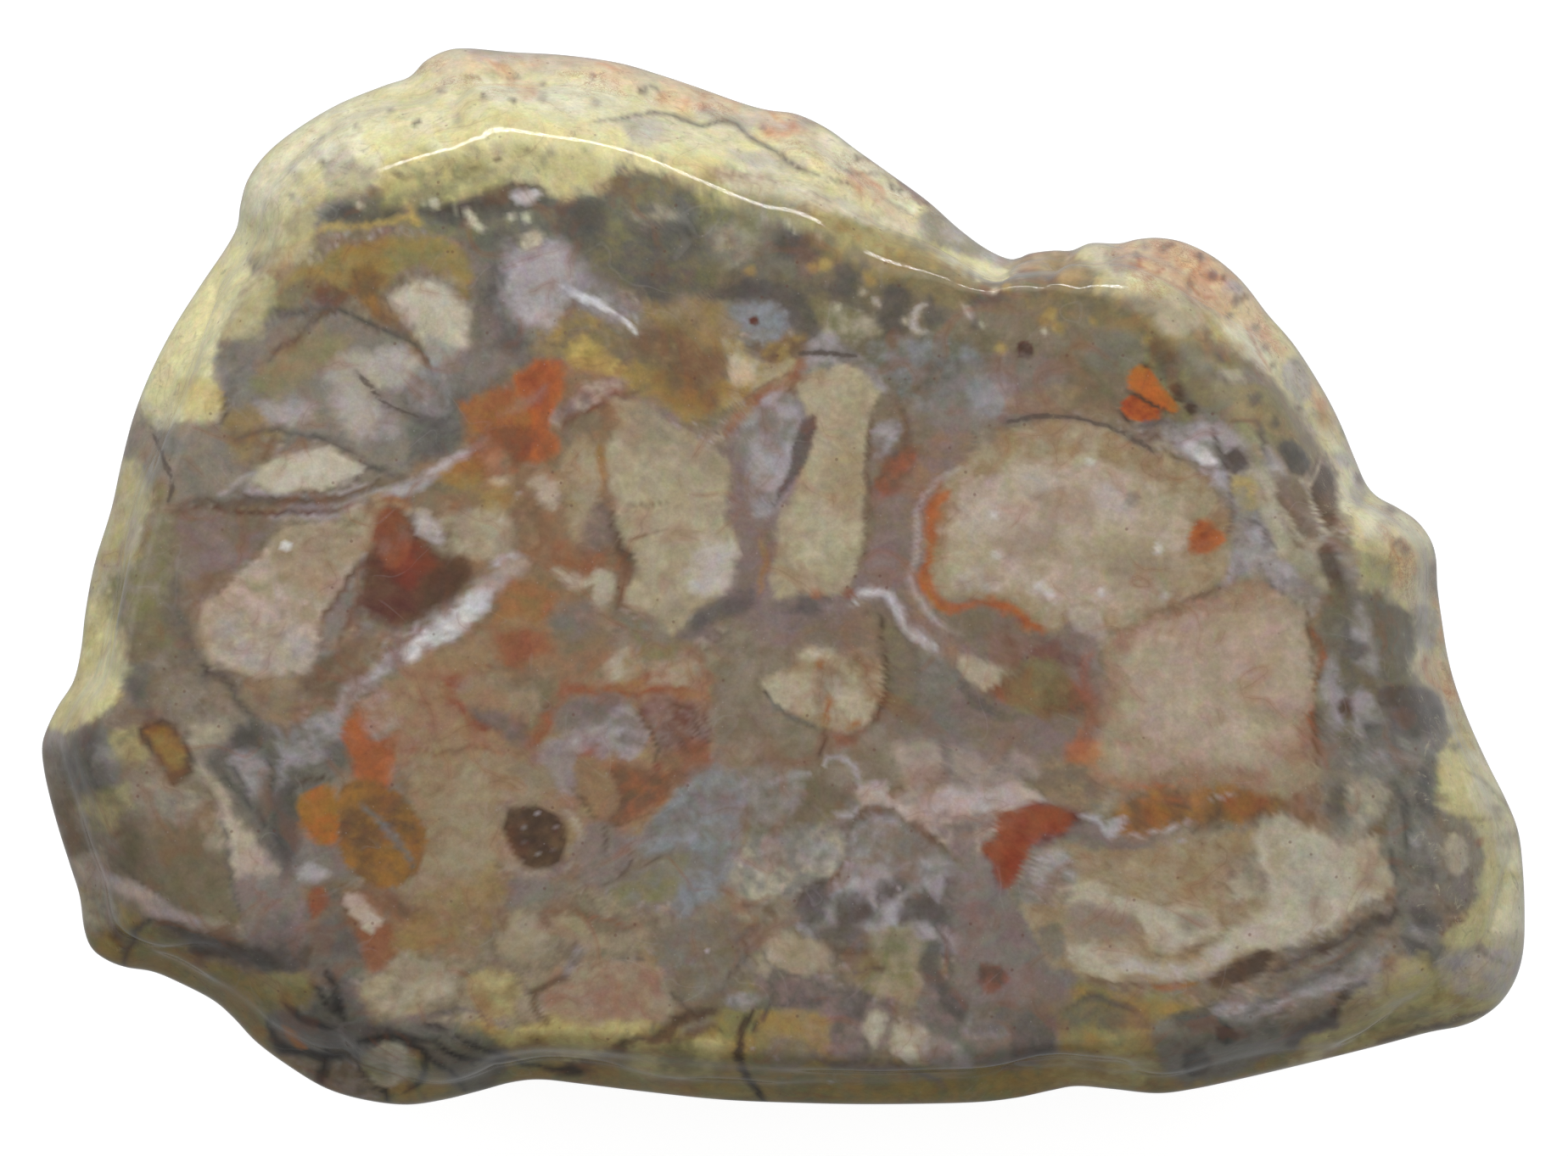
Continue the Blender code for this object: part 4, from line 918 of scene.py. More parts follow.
patch warm_grey grey 9: 262 440 280 400 312 378 350 368 400 374 440 388 474 406 500 436 522 466 520 520
480 560 430 545 380 520 300 510 268 490
patch tan moss 10 .75: 304 428 322 404 350 390 380 382 412 400 400 430 370 450 340 460 308 470 296 450
patch cream milk 9 .6: 430 430 450 410 470 408 496 430 508 450 500 466 470 456 446 456 428 450
patch milk lilac 8 .6: 478 448 496 446 506 458 496 468 482 462; 300 478 330 472 372 474 356 494 320 496
patch lilac grey 6 .7: 436 482 450 474 470 480 478 500 466 520 446 516 436 500
patch smoke slate 10 .85: 494 456 530 466 560 450 600 452 560 480 540 520 510 552 486 560 480 520 492 490
stroke dark_slate smoke 13 6 .75: 262 436 276 410 296 390 318 374 350 366 380 366
stroke smoke brown 9 5 .85: 310 432 320 414 336 402 352 394 366 378 384 370 408 370
stroke dark_slate 8 4 .8: 366 366 410 371 440 382 470 396 490 410 506 434 522 460
stroke smoke 7 6 .5: 256 440 262 420 272 396; 270 470 276 450 284 430
line 1.5: 420 440 440 460 452 476 470 486 500 492
patch gold drab 9 .7: 262 500 276 484 300 480 316 500 330 514 300 522 296 540 276 556 262 530
# Cream wedge and the veins under it
patch grey warm_grey 10 .9: 120 560 156 480 180 470 200 498 250 500 270 520 290 560 240 590 200 600 160
620 130 620
patch moss warm_grey 12 .8: 110 700 126 600 160 560 196 570 200 640 190 720 150 744 120 740
patch bone cream 5: 296 568 312 548 340 538 372 534 404 535 424 544 432 554 416 564 396 573 360 578 320
578
stroke dark_slate smoke 8 5 .8: 276 520 304 508 344 510 384 520 412 534 440 552 482 566
stroke milk 6 4 .55: 262 584 282 566 300 560 296 580 330 582 372 587 402 580 440 570
stroke smoke brown 13 5 .75: 204 604 232 590 262 592 300 590 350 592 400 588 450 574
stroke umber maroon 5 2 .7: 216 604 250 598 290 606 350 606 396 600
stroke milk lilac 7 4 .5: 330 600 380 596 420 588 470 572 500 560
line 2: 180 512 192 540 202 560 196 590
patch straw butter 12 .5: 246 330 280 316 316 330 320 372 300 400 256 396 230 360; 296 256 350 240 372 280
350 316 306 320
patch pale butter 9 .7: 160 440 214 430 230 470 200 500 164 490
patch milk bone 9 .55: 396 420 430 414 446 450 440 504 410 514 392 470
spots grey lilac 7 6 .5 9: 372 178 390 192 402 176 414 190 352 212 366 226 350 236 438 180 345 200
patch custard butter 10 .8: 168 470 196 400 236 340 266 300 286 300 280 350 250 400 236 450 244 480 200
492
# Cream and straw rind from the knob to the notch, peach along its edge
patch rind_cream butter: 450 60 470 40 560 30 700 40 760 70 850 90 930 118 980 150 1040 200 1090 240 1130
262 1190 300 1180 330 1120 316 1080 284 1000 244 930 218 860 202 800 202 746 198 724 206 700 224 680 236
656 230 640 214 600 216 560 230 500 236 440 222 430 120
patch straw butter 14 .75: 560 130 640 140 700 160 760 180 840 196 830 214 780 206 740 196 700 220 660 226
640 208 560 214 520 190
patch peach bone 9 .75: 500 60 560 44 700 56 760 80 860 104 940 128 990 168 960 176 900 150 830 128 760
112 700 90 600 84 520 92
patch moss straw 8 .8: 470 180 520 176 580 196 600 216 560 236 480 244 440 224
patch pale rind_cream 10 .7: 560 96 620 106 700 92 740 110 720 138 650 130 590 128
patch pale rind_cream 7 .6: 980 150 1040 196 1080 236 1060 250 1010 214 960 176
patch lilac grey 8 .55: 548 52 600 50 690 58 700 72 640 78 560 70; 734 140 770 134 790 150 770 172 744
164; 820 124 880 136 960 140 940 152 880 152 830 142; 860 180 900 182 950 196 940 206 880 200
spots orange peach 9 7 .55: 916 158 934 152 905 154 1004 208 1020 214 1012 224 1032 230 1048 246 592 82
606 96 624 108 786 118 806 122 832 120 862 118
stroke smoke umber 5 3 .8: 694 146 724 144 752 134 780 134 800 138 826 148 854 142 872 148 884 164 914 178
934 196 960 206 990 212 1004 216
stroke smoke 4 3 .6: 744 100 756 106 768 100 780 112; 724 210 738 196 746 178; 985 190 1006 204 1036 206
1054 216; 1040 232 1056 240 1072 250
spots umber 4 2 .7: 584 186 606 120 569 113 492 143 487 146 470 205 754 108 1012 186 1050 218 1060 222
patch moss straw 12 .75: 820 210 900 216 960 232 1040 258 1100 282 1110 306 1040 300 980 276 900 250 820
240
patch pale bone 8 .6: 850 206 930 214 990 236 1050 254 1096 262 1092 274 1030 266 950 244 870 222
patch lilac grey 6 .8: 1084 246 1120 256 1160 284 1196 300 1190 318 1150 308 1110 290 1080 272
# Ochre lens in the notch, between dark scales
patch peach tan 5 .9: 1190 312 1216 296 1244 294 1268 300 1270 322 1250 334 1228 318 1206 320
patch slate smoke 7 .8: 1204 322 1236 322 1262 334 1280 316 1292 300 1304 320 1290 344 1262 352 1226 348
1206 340
spots moss grey 7 6 .5 9: 545 200 560 182 580 200 515 205 530 190 570 215 605 200 480 205 620 178 690 176
640 190 550 96 580 88 632 82 612 92
patch slate moss 10 .7: 870 226 930 232 960 250 940 262 880 256
patch peach bone 8 .5: 600 60 700 64 760 84 720 92 620 84; 1020 220 1060 240 1080 262 1050 262
spots grey mauve 6 4 .5: 740 176 780 190 730 200 650 180 586 176 640 116 700 120 540 140
# Peach and cream rind round the upper right, with orange veins and purplish spots
patch butter bone 7: 1266 296 1300 270 1360 260 1430 270 1500 330 1560 400 1610 500 1640 580 1700 610 1730
700 1760 800 1830 960 1840 1120 1790 1200 1740 1180 1720 1100 1740 1040 1700 960 1700 900 1690 850 1700
820 1660 800 1662 730 1640 712 1606 696 1600 650 1584 600 1574 560 1556 524 1530 490 1500 450 1480 428
1440 404 1410 378 1380 360 1340 346 1290 348 1284 320
patch peach orange 10 .5: 1316 288 1360 276 1420 288 1460 330 1440 370 1410 362 1370 330 1330 322; 1400
300 1450 320 1490 370 1520 410 1500 416 1460 390 1430 360; 1636 630 1656 640 1672 690 1650 700 1640 670;
1672 770 1700 780 1720 820 1690 820; 1686 712 1700 716 1706 750 1694 750; 1540 450 1560 460 1570 500 1556
500
patch pale rind_cream 7 .6: 1296 328 1340 322 1372 340 1400 366 1370 356 1320 348; 1444 380 1480 392 1510
430 1490 440 1460 416; 1572 520 1592 530 1600 580 1586 600 1574 560; 1600 598 1622 604 1620 634 1604 626;
1730 890 1764 900 1790 960 1760 960 1736 930; 1640 610 1690 620 1690 640 1660 640; 1664 690 1684 700 1676
780 1664 760
stroke orange red 4 3 .55: 1330 322 1348 330 1362 326 1384 336 1402 350 1410 370 1430 376; 1344 300 1340
318; 1400 296 1412 312 1404 330 1414 350; 1416 322 1440 330 1450 346; 1640 640 1650 660 1654 684; 1680 772
1682 796 1700 812 1720 816; 1730 920 1750 926 1772 948
patch lilac grey 6 .7: 1514 430 1536 428 1546 452 1536 470 1518 462; 1572 536 1590 534 1596 548 1578 552;
1594 556 1612 580 1606 596 1592 586; 1680 640 1696 650 1698 700 1686 690; 1664 716 1686 716 1694 760 1672
760; 1446 330 1466 338 1460 352 1444 346; 1704 876 1724 880 1714 900 1702 896
spots mauve smoke 6 4 .65: 1412 306 1426 324 1456 357 1350 290 1372 290 1637 603 1648 638 1656 648 1402
336 1334 312 1490 406 1602 566 1588 506
patch straw moss 8 .5: 1544 484 1564 486 1572 500 1554 502; 1600 640 1650 650 1646 700 1610 694; 1690 850
1730 860 1726 890 1696 890; 1700 900 1730 930 1720 960 1700 940
patch moss grey 6 .5: 1300 290 1320 296 1330 318 1314 322; 1600 650 1640 660 1640 690 1606 690
# Brownish olive ground inside the rind, with grey and dark clouds
patch drab moss 9 .85: 1290 352 1340 352 1390 368 1440 410 1490 440 1530 500 1560 540 1500 560 1450 500
1380 500 1320 440 1290 400
patch bone grey 6 .6: 1300 346 1360 350 1370 362 1320 366; 1400 376 1440 404 1430 416 1396 396; 1430 406
1466 404 1464 420 1440 420; 1436 436 1480 440 1500 456 1450 452
patch smoke umber 8 .7: 1352 400 1376 402 1390 430 1380 450 1362 430; 1436 418 1462 416 1456 428 1440 426;
1416 432 1440 442 1450 456 1428 450; 1388 440 1410 470 1414 486 1396 480
patch grey slate 9 .6: 1290 396 1340 390 1350 430 1300 440; 1390 400 1430 410 1420 440 1390 430; 1412 476
1450 476 1456 494 1420 500
patch moss tan 10 .6: 1460 456 1520 470 1540 510 1500 520 1470 490
spots umber 7 2 .85 3: 1386 458 1388 468 1403 481
# Orange clast cut by dark cracks, with its shadow
patch amber orange 2: 1330 440 1340 432 1354 434 1366 450 1374 464 1386 480 1378 488 1360 478 1340 464
1328 456
patch orange red 2: 1324 468 1336 464 1352 474 1366 486 1364 496 1344 498 1330 490 1320 480
stroke umber 5 2 .9: 1326 460 1344 468 1362 480 1378 488; 1314 480 1324 490 1336 499; 1344 431 1356 434
stroke smoke umber 10 4 .75: 1332 504 1360 502 1392 502 1430 508
# Pale net of cells with dark lenses, beside the great clast
patch grey lilac 10 .85: 1380 500 1440 496 1500 540 1560 620 1560 700 1540 716 1500 686 1470 676 1440 690
1448 640 1450 590 1420 556 1376 520
patch white milk 5 .7: 1398 522 1420 524 1436 546 1414 548 1400 536
patch bone moss 6 .75: 1452 502 1472 506 1484 530 1500 570 1530 620 1560 640 1566 700 1530 680 1500 640
1480 600 1466 560 1472 536
patch ochre moss 6 .7: 1456 562 1474 562 1482 590 1464 600 1456 586
patch smoke umber 3 .9: 1444 540 1454 524 1466 530 1472 548 1460 558 1448 552
patch dark_slate smoke 3 .9: 1509 530 1522 518 1540 534 1543 552 1528 558 1514 546
patch umber brown 3 .9: 1553 544 1566 560 1576 590 1574 616 1566 626 1554 610 1545 588 1545 566
patch drab brown 5 .8: 1500 560 1524 568 1546 600 1558 632 1536 632 1510 602; 1506 596 1520 606 1540 636
1530 644 1512 616
stroke bone parchment 4 2 .7: 1524 560 1540 574 1548 566 1556 542; 1540 584 1552 610 1566 634; 1510 596
1530 630 1548 646; 1484 562 1500 590 1520 620 1544 650
stroke umber smoke 7 3 .8: 1454 496 1476 494 1484 512 1488 534 1500 560; 1430 504 1436 524 1444 546 1452
562
stroke smoke 6 3 .65: 1466 610 1482 618 1490 634 1504 644; 1494 684 1516 702 1536 716
patch umber smoke 6 .85: 1554 648 1578 640 1580 662 1584 700 1568 692 1558 672
# Dark olive cells down the right side
patch smoke olive 10 .85: 1570 696 1604 690 1634 712 1662 730 1668 792 1700 820 1704 860 1690 900 1700 950
1690 1010 1650 1020 1600 1000 1560 960 1566 900 1550 860 1552 800 1556 740
patch olive slate 9 .7: 1610 700 1660 722 1664 790 1640 804 1610 760; 1560 700 1590 720 1590 760 1566 760
patch lilac grey 8 .7: 1596 716 1612 724 1616 790 1600 780 1590 750; 1594 816 1624 822 1650 866 1700 880
1690 904 1640 900 1600 910 1592 860; 1562 770 1580 790 1584 850 1566 870 1558 820
spots umber brown 9 4 .75 5: 1584 834 1586 840
patch smoke umber 4 .85: 1624 812 1660 808 1692 820 1701 842 1694 862 1674 874 1648 862 1634 844
patch dark_slate smoke 5 .8: 1604 850 1636 856 1644 880 1616 884; 1664 916 1684 918 1686 944 1668 940;
1584 730 1594 744 1588 760; 1590 756 1606 756 1608 772 1592 772; 1596 870 1606 900 1600 920
# Bone clast, umber bands and the yellow foot of the right end
patch bone cream 8 .9: 1500 962 1540 972 1580 1000 1620 990 1640 1030 1630 1056 1580 1080 1530 1110 1480
1120 1440 1110 1500 1060 1480 1000
patch bone grey 8 .8: 1590 900 1630 890 1630 960 1590 980
patch cream grey 8 .5: 1520 1000 1560 1010 1560 1060 1530 1070; 1570 966 1604 962 1610 990 1584 1000
patch tan beige 7 .5: 1600 1000 1624 996 1636 1050 1604 1044; 1496 990 1516 1000 1510 1030 1494 1020
patch umber brown 6 .9: 1422 1156 1450 1136 1490 1122 1506 1130 1486 1150 1440 1168
stroke umber smoke 17 6 .9: 1500 1150 1540 1126 1590 1102 1640 1082 1652 1056
patch straw gold 8 .9: 1520 1250 1530 1224 1590 1204 1610 1180 1660 1150 1700 1140 1760 1160 1740 1210
1640 1240 1560 1262
patch straw moss 9 .7: 1600 1190 1650 1156 1700 1150 1690 1190 1620 1220 1560 1240 1540 1232
patch umber smoke 5 .9: 1510 1236 1524 1212 1560 1200 1576 1186 1602 1188 1590 1202 1556 1214 1530 1230;
1574 1176 1600 1152 1612 1160 1590 1182
stroke smoke umber 10 5 .7: 1620 1234 1660 1216 1720 1204 1780 1180
# Slate column with its black drops and the grey lens beside it
patch slate grey 9 .95: 1620 850 1700 850 1700 900 1690 960 1690 1040 1700 1100 1690 1140 1650 1130 1650
1060 1630 1000 1640 930 1610 900
patch grey lilac 7 .6: 1610 890 1650 880 1660 904 1620 920; 1664 980 1690 984 1690 1020 1668 1016; 1660
1090 1680 1090 1670 1110
patch dark_slate smoke 5 .85: 1636 836 1700 836 1690 862 1650 868; 1668 916 1684 914 1688 950 1674 950;
1662 1066 1694 1070 1694 1098 1672 1094; 1650 1100 1680 1120 1690 1146 1676 1150; 1684 1024 1700 1022 1704
1044 1688 1042
stroke dark_slate 9 4 .75: 1648 924 1654 956 1660 1000; 1640 1000 1646 1040; 1682 944 1692 970
patch grey drab 7 .85: 1700 960 1740 970 1750 1040 1740 1070 1700 1060 1690 1000
patch bone grey 4 .8: 1704 996 1716 986 1730 996 1730 1020 1716 1036 1706 1026
stroke brown rust 8 4 .7: 1742 1000 1756 980; 1700 1100 1724 1082 1748 1070
patch straw butter 8 .8: 1700 880 1740 900 1780 960 1800 1040 1800 1110 1740 1120 1700 1110 1740 1060 1750
980 1700 950
patch pale rind_cream 6 .7: 1726 926 1764 920 1782 956 1750 960; 1764 1050 1796 1040 1796 1100 1762 1096
patch bone lilac 7 .75: 1700 1120 1760 1116 1796 1130 1780 1170 1740 1180 1700 1160; 1760 1100 1796 1100
1790 1124 1764 1120
stroke olive umber 4 3 .5: 1720 906 1760 930 1784 966; 1700 966 1770 964; 1740 1120 1780 1140
spots smoke drab 7 5 .6: 1765 955 1700 940 1715 880 1668 1040 1750 1120
patch bone straw 9 .8: 1640 1140 1680 1130 1690 1170 1650 1190 1620 1176
patch pale grey 9 .6: 1764 970 1800 980 1800 1020 1770 1020
patch grey lilac 8 .5: 1590 1150 1626 1136 1640 1160 1600 1184
# Ground of mauve and brown round the tall clast, then the clast and its lilac side
patch mauve drab 14 .9: 860 500 1000 460 1090 480 1110 540 1090 600 1090 720 1040 760 960 760 880 740 850
640
patch beige parchment 6: 944 440 1000 432 1032 462 1030 484 1022 520 1018 560 1018 620 1014 664 1000 694
980 706 944 700 916 706 910 680 916 640 922 610 932 588 944 540 958 500 940 470
patch tan gold 16 .4: 970 540 1010 540 1010 600 980 600
patch parchment bone 16 .4: 930 600 1000 600 1004 660 940 660
patch lilac grey 8 .9: 880 484 908 464 938 468 956 490 946 530 930 572 914 602 892 604 878 572 870 520
patch milk lilac 8 .5: 884 540 912 536 924 552 908 580 890 576
patch smoke maroon 3 .9: 948 496 962 490 960 516 952 544 938 562 922 586 912 600 920 576 930 550 938 520
stroke brown drab 10 4 .8: 1036 466 1026 500 1022 560 1022 600 1022 640 1014 668 1000 696
patch lilac grey 5 .85: 1032 504 1050 494 1062 504 1050 530 1034 542 1028 526
stroke smoke brown 12 6 .8: 1058 470 1066 500 1064 526 1046 550 1030 578
patch brown rust 8 .8: 1030 574 1046 546 1066 530 1082 540 1072 566 1050 584
patch smoke mauve 6 .85: 912 710 960 702 1002 704 1004 724 960 726 920 724
spots rust 7 4 .6 4: 964 700 1000 700
stroke amber gold 8 5 .6: 898 636 902 664 894 700
stroke white milk 12 6 .8: 1004 714 1020 702 1044 700 1054 712 1062 724 1080 744 1096 764 1110 780
patch drab salmon 8 .7: 996 720 1034 716 1040 760 1036 790 1000 784 984 760
patch drab moss 6 .7: 1048 730 1060 740 1078 764 1078 810 1060 840 1046 820
stroke brown umber 6 3 .75: 1042 722 1038 752 1046 784 1042 820 1030 856
stroke olive smoke 9 4 .7: 1058 738 1078 760 1082 790 1074 824 1060 850
patch grey slate 12 .8: 1084 784 1120 776 1160 820 1160 860 1110 870 1080 850
# Beige clast under the great one, with a brown crack down its right side and rust specks
patch beige salmon 7 .95: 1304 750 1350 730 1396 716 1440 698 1476 684 1502 692 1530 716 1546 742 1554 780
1548 820 1546 860 1556 890 1562 920 1520 936 1480 934 1440 926 1400 926 1350 930 1304 926 1286 890 1292
830 1302 790
patch bone parchment 16 .5: 1330 770 1400 760 1420 820 1400 870 1340 870 1316 820; 1420 860 1480 850 1480
890 1430 890
patch fawn salmon 18 .5: 1400 740 1500 720 1530 780 1520 850 1450 830 1410 790; 1300 890 1400 890 1420 920
1320 920
stroke brown rust 9 3 .8: 1546 736 1553 756 1554 784 1548 816; 1545 832 1548 858 1558 884 1566 908
# Large pinkish clast with a tan ring, half wrapped in an orange arc
patch fawn mauve 12 .75: 1070 560 1100 520 1140 510 1150 540 1120 570 1100 600 1090 660 1100 720 1150 760
1120 780 1080 740 1064 690 1070 620
patch tan beige 7: 1096 606 1106 578 1130 548 1170 518 1220 498 1264 494 1310 508 1350 528 1390 546 1424
574 1446 604 1450 640 1446 670 1428 694 1400 708 1356 722 1322 740 1296 736 1276 722 1258 732 1240 746
1210 734 1176 714 1140 704 1104 700 1090 670 1090 636
patch parchment pink 12 .8: 1118 604 1140 574 1186 556 1232 540 1290 542 1336 558 1380 584 1402 612 1400
650 1384 690 1340 712 1260 716 1190 700 1134 684 1112 650
patch milk bone 10 .5: 1204 560 1232 548 1240 570 1216 590; 1290 570 1330 580 1346 610 1310 616 1290 600;
1120 600 1160 590 1170 620 1130 630; 1120 680 1150 670 1180 690 1150 698
patch tan drab 14 .45: 1230 584 1280 580 1280 620 1236 616; 1180 630 1240 620 1250 660 1190 660; 1300 640
1380 650 1390 700 1330 704 1296 680
stroke pink milk 7 4 .6: 1150 546 1112 562 1088 590 1080 630 1078 664 1076 694 1090 718 1112 738 1140 750
stroke rust orange 14 5 .85: 1120 580 1104 594 1099 616 1096 642
stroke amber orange 9 3 .9: 1096 656 1089 672 1088 690 1100 708 1118 718 1142 716
stroke rust orange 20 5 .9: 1166 708 1184 722 1206 734 1226 742
patch orange rust 4 .9: 1402 642 1408 620 1420 612 1438 626 1442 640 1426 650 1408 648
spots red 5 3 .6: 1414 618 1420 630
spots smoke 9 3 .45 3: 1334 588
spots white milk 5 4 .6: 1284 549 1372 703 1176 657 1298 700 1170 606 1366 648 1225 692 1236 700
patch pink bone 5 .7: 1258 716 1290 720 1304 746 1296 756 1270 742
stroke smoke mauve 6 3 .8: 1450 540 1452 580 1450 614 1446 636
stroke brown tan 8 4 .8: 1448 688 1422 700 1396 714 1362 722 1340 736 1312 742
line 1.5: 1186 498 1226 494 1266 492 1296 500 1330 514 1360 532
# Mauve and rust ground below it, with a brown lens and a cream scrap
patch mauve drab 12: 1120 720 1180 720 1230 750 1290 750 1300 820 1290 880 1240 900 1160 880 1120 840 1140
790
patch maroon mauve 12 .6: 1186 744 1240 752 1280 770 1284 810 1240 800 1200 780
patch brown rust 6 .8: 1160 818 1190 798 1216 788 1250 796 1276 812 1284 834 1256 842 1212 836 1184 828
patch parchment bone 5 .85: 1136 774 1170 780 1200 790 1184 804 1162 816 1144 808 1136 794
stroke smoke olive 13 6 .8: 1130 790 1140 814 1160 834 1190 842 1220 840
stroke rust 16 8 .55: 1284 770 1280 800 1288 836 1276 880
patch orange rust 8 .6: 1256 880 1290 868 1300 896 1262 906
patch parchment pink 12 .6: 1340 740 1420 730 1500 720 1540 760 1530 880 1460 900 1400 900 1350 860 1330
800
patch bone parchment 10 .4: 1500 700 1534 700 1544 740 1512 750
patch beige grey 9 .6: 1540 880 1580 880 1590 920 1552 930
# Dark band beside the lavender patch, the patch itself and the white streak on it
patch smoke slate 14 .85: 556 282 600 270 612 300 600 340 606 380 626 402 600 420 575 400 560 350 556 310
patch grey mauve 10 .6: 554 312 574 318 570 340 556 336; 566 358 586 362 592 392 570 396
patch lilac grey 12 .9: 592 296 620 288 650 284 676 292 700 310 724 336 738 366 700 372 670 352 656 372
640 386 612 388 598 362 588 330
patch pale bone 5 .8: 616 274 630 270 636 284 626 296 614 290
stroke umber smoke 12 6 .7: 515 246 540 250 562 240 590 236 600 226 630 218 648 222
spots pale 5 4 .7: 557 258 553 252 512 240 620 256 564 266
patch dark_slate smoke 14 .7: 652 236 690 230 716 250 716 290 690 300 664 284 650 262; 738 262 766 250 796
258 788 290 760 292; 800 262 826 266 830 290 806 290 796 278; 752 324 786 320 794 344 762 352
patch grey bone 10 .6: 745 250 780 246 800 252 790 262 760 262; 836 270 866 270 876 300 850 320 836 300
patch smoke olive 16 .7: 690 300 760 290 840 300 850 340 800 356 740 350 700 330
stroke milk white 10 3 .85: 664 337 682 347 704 357 726 368
stroke milk white 6 2 .85: 726 368 736 376 744 386 752 398
# Olive-gold body with brown folds, over the big clasts
patch drab gold 12: 628 396 660 372 700 374 748 394 780 370 830 376 858 400 868 430 862 470 846 492 812
492 770 480 740 458 700 446 664 430 640 420
patch tan gold 10 .55: 756 360 800 350 846 356 870 384 850 404 820 390 780 392
patch gold ochre 7 .9: 664 402 688 396 706 408 736 436 744 450 712 446 680 440 668 424
patch brown drab 16 .6: 744 396 800 380 840 400 850 440 810 450 760 430
patch amber brown 10 .55: 770 440 820 440 846 462 842 490 806 484 778 468
# Grey eye with its dark-red dot, the cream chip and the rust rim under it
patch smoke dark_slate 6 .8: 836 346 860 336 904 330 940 344 958 372 966 392 948 404 930 384 914 362 880
352 850 356
patch grey blue_grey 7: 856 360 878 352 904 354 924 368 930 386 918 402 900 410 884 402 870 386
spots maroon 6 2 1 2: 888 378
patch gold brown 7 .85: 892 412 918 404 946 396 952 410 940 430 912 436
patch parchment gold 5: 846 396 866 398 880 414 900 428 938 424 934 438 902 452 880 466 856 484 850 470
862 446 862 424
patch cream peach 6 .7: 868 420 886 432 884 448 868 456 862 440
stroke rust fawn 15 6 .75: 948 416 938 440 912 456 890 470 872 494 852 512
stroke brown 4 3 .5: 866 484 880 468 904 452 930 440
line 1.5: 944 418 968 416 990 418 1010 420
# Brown matrix with rust, ochre and peach clouds
patch fawn drab 16: 500 540 560 500 620 440 700 440 740 480 730 560 740 640 730 720 700 790 620 800 560
780 540 700 520 640 490 600
patch smoke slate 14 .85: 480 450 530 440 552 470 548 500 540 530 500 540 476 500
patch amber rust 9 .85: 542 474 580 456 606 462 630 480 624 520 596 530 566 516 548 500
patch rust orange 8 .9: 606 452 640 424 668 430 668 456 652 478 646 506 654 530 628 546 606 524 622 494
616 474
patch red rust 6 .7: 618 452 646 432 656 446 640 470 622 482
patch maroon rust 8 .8: 574 506 604 500 628 512 622 538 596 542 578 528
stroke salmon mauve 8 5 .55: 588 486 612 478 632 466 646 452
patch mauve pink 7 .85: 650 488 676 466 704 452 738 446 730 462 700 474 672 492 654 502
stroke rust maroon 7 4 .75: 652 508 680 490 704 476 724 464 752 462
patch peach parchment 8 .85: 566 540 592 536 606 552 606 572 588 574 572 560
patch amber gold 8 .75: 524 548 556 540 570 562 560 580 536 580 522 566; 566 580 600 572 604 594 572 604
stroke milk lilac 13 6 .75: 470 576 500 570 516 554 534 540 558 528 574 520
patch parchment bone 10 .7: 536 606 580 596 606 620 600 650 560 656 534 640
patch brown fawn 12 .7: 604 556 640 570 652 610 640 650 604 640 600 600
patch bone pink 7 .75: 626 566 646 564 660 584 652 604 636 590
stroke milk 8 4 .6: 578 664 596 658 614 656
# Upright tan clast with amber sides, the big beige clast beside it
patch parchment tan 7 .9: 656 560 664 530 686 516 704 526 708 560 704 600 692 632 680 640 670 612 664 584
stroke amber fawn 10 5 .6: 708 524 710 556 706 590
patch mauve smoke 8 .7: 696 612 712 600 726 620 722 646 700 650 688 640
patch rust fawn 12 .6: 626 640 690 640 726 652 724 676 690 676 640 668 620 660
patch cream bone 5 .7: 696 676 712 670 722 684 712 718 700 712 698 694; 652 676 680 676 700 688 680 692
patch orange amber 12 .5: 586 698 620 684 652 692 656 722 630 744 596 736
patch mauve grey 12 .6: 644 716 690 704 712 730 690 750 650 744
patch beige parchment 6: 718 470 750 476 790 502 836 522 856 544 858 566 850 602 864 632 870 652 860 682
844 704 812 732 794 746 776 736 744 716 736 690 744 664 734 638 724 622 726 596 714 566 716 530 730 500
patch warm_grey tan 14 .6: 724 478 760 482 800 508 836 524 846 560 820 560 790 530 740 520
patch parchment 16 .6: 740 540 810 540 850 580 846 620 800 640 744 620
patch cream milk 12 .75: 812 660 844 636 866 654 856 684 826 706 806 690
stroke umber brown 12 5 .75: 722 606 728 640 740 662 740 684 730 704 724 724
stroke brown 3 2 .65: 732 642 748 636 764 630 782 624; 738 598 760 596 784 592
patch smoke mauve 8 .8: 842 704 880 686 890 716 856 726 826 748 796 760 800 744 822 730
patch grey moss 8 .7: 744 734 770 728 792 748 796 776 760 776 744 756
# Dark-red wedge and the white band under it
patch drab parchment 12 .7: 396 606 430 588 470 594 520 600 560 640 540 660 500 640 460 640 420 640
patch maroon brown: 440 622 462 596 484 610 504 648 548 656 558 676 534 706 500 726 462 732 426 716 424
680
patch red maroon 10 .75: 452 632 482 640 512 656 520 680 480 690 450 670
patch mauve milk 7 .7: 484 604 512 612 528 636 506 640 488 626
patch brown umber 10 .6: 500 670 548 666 550 690 520 712 480 728 500 700
patch milk white 8 .9: 470 772 490 746 520 728 550 706 572 694 574 712 550 740 520 760 490 780
patch lilac pink 9 .6: 556 690 590 664 620 664 600 690 574 706
patch fawn tan 10 .7: 500 770 560 748 600 730 640 740 600 770 540 800 490 800
patch rust red 9 .65: 590 748 636 744 650 768 610 786 586 774
patch rust brown 8 .7: 556 516 618 508 610 556 562 560
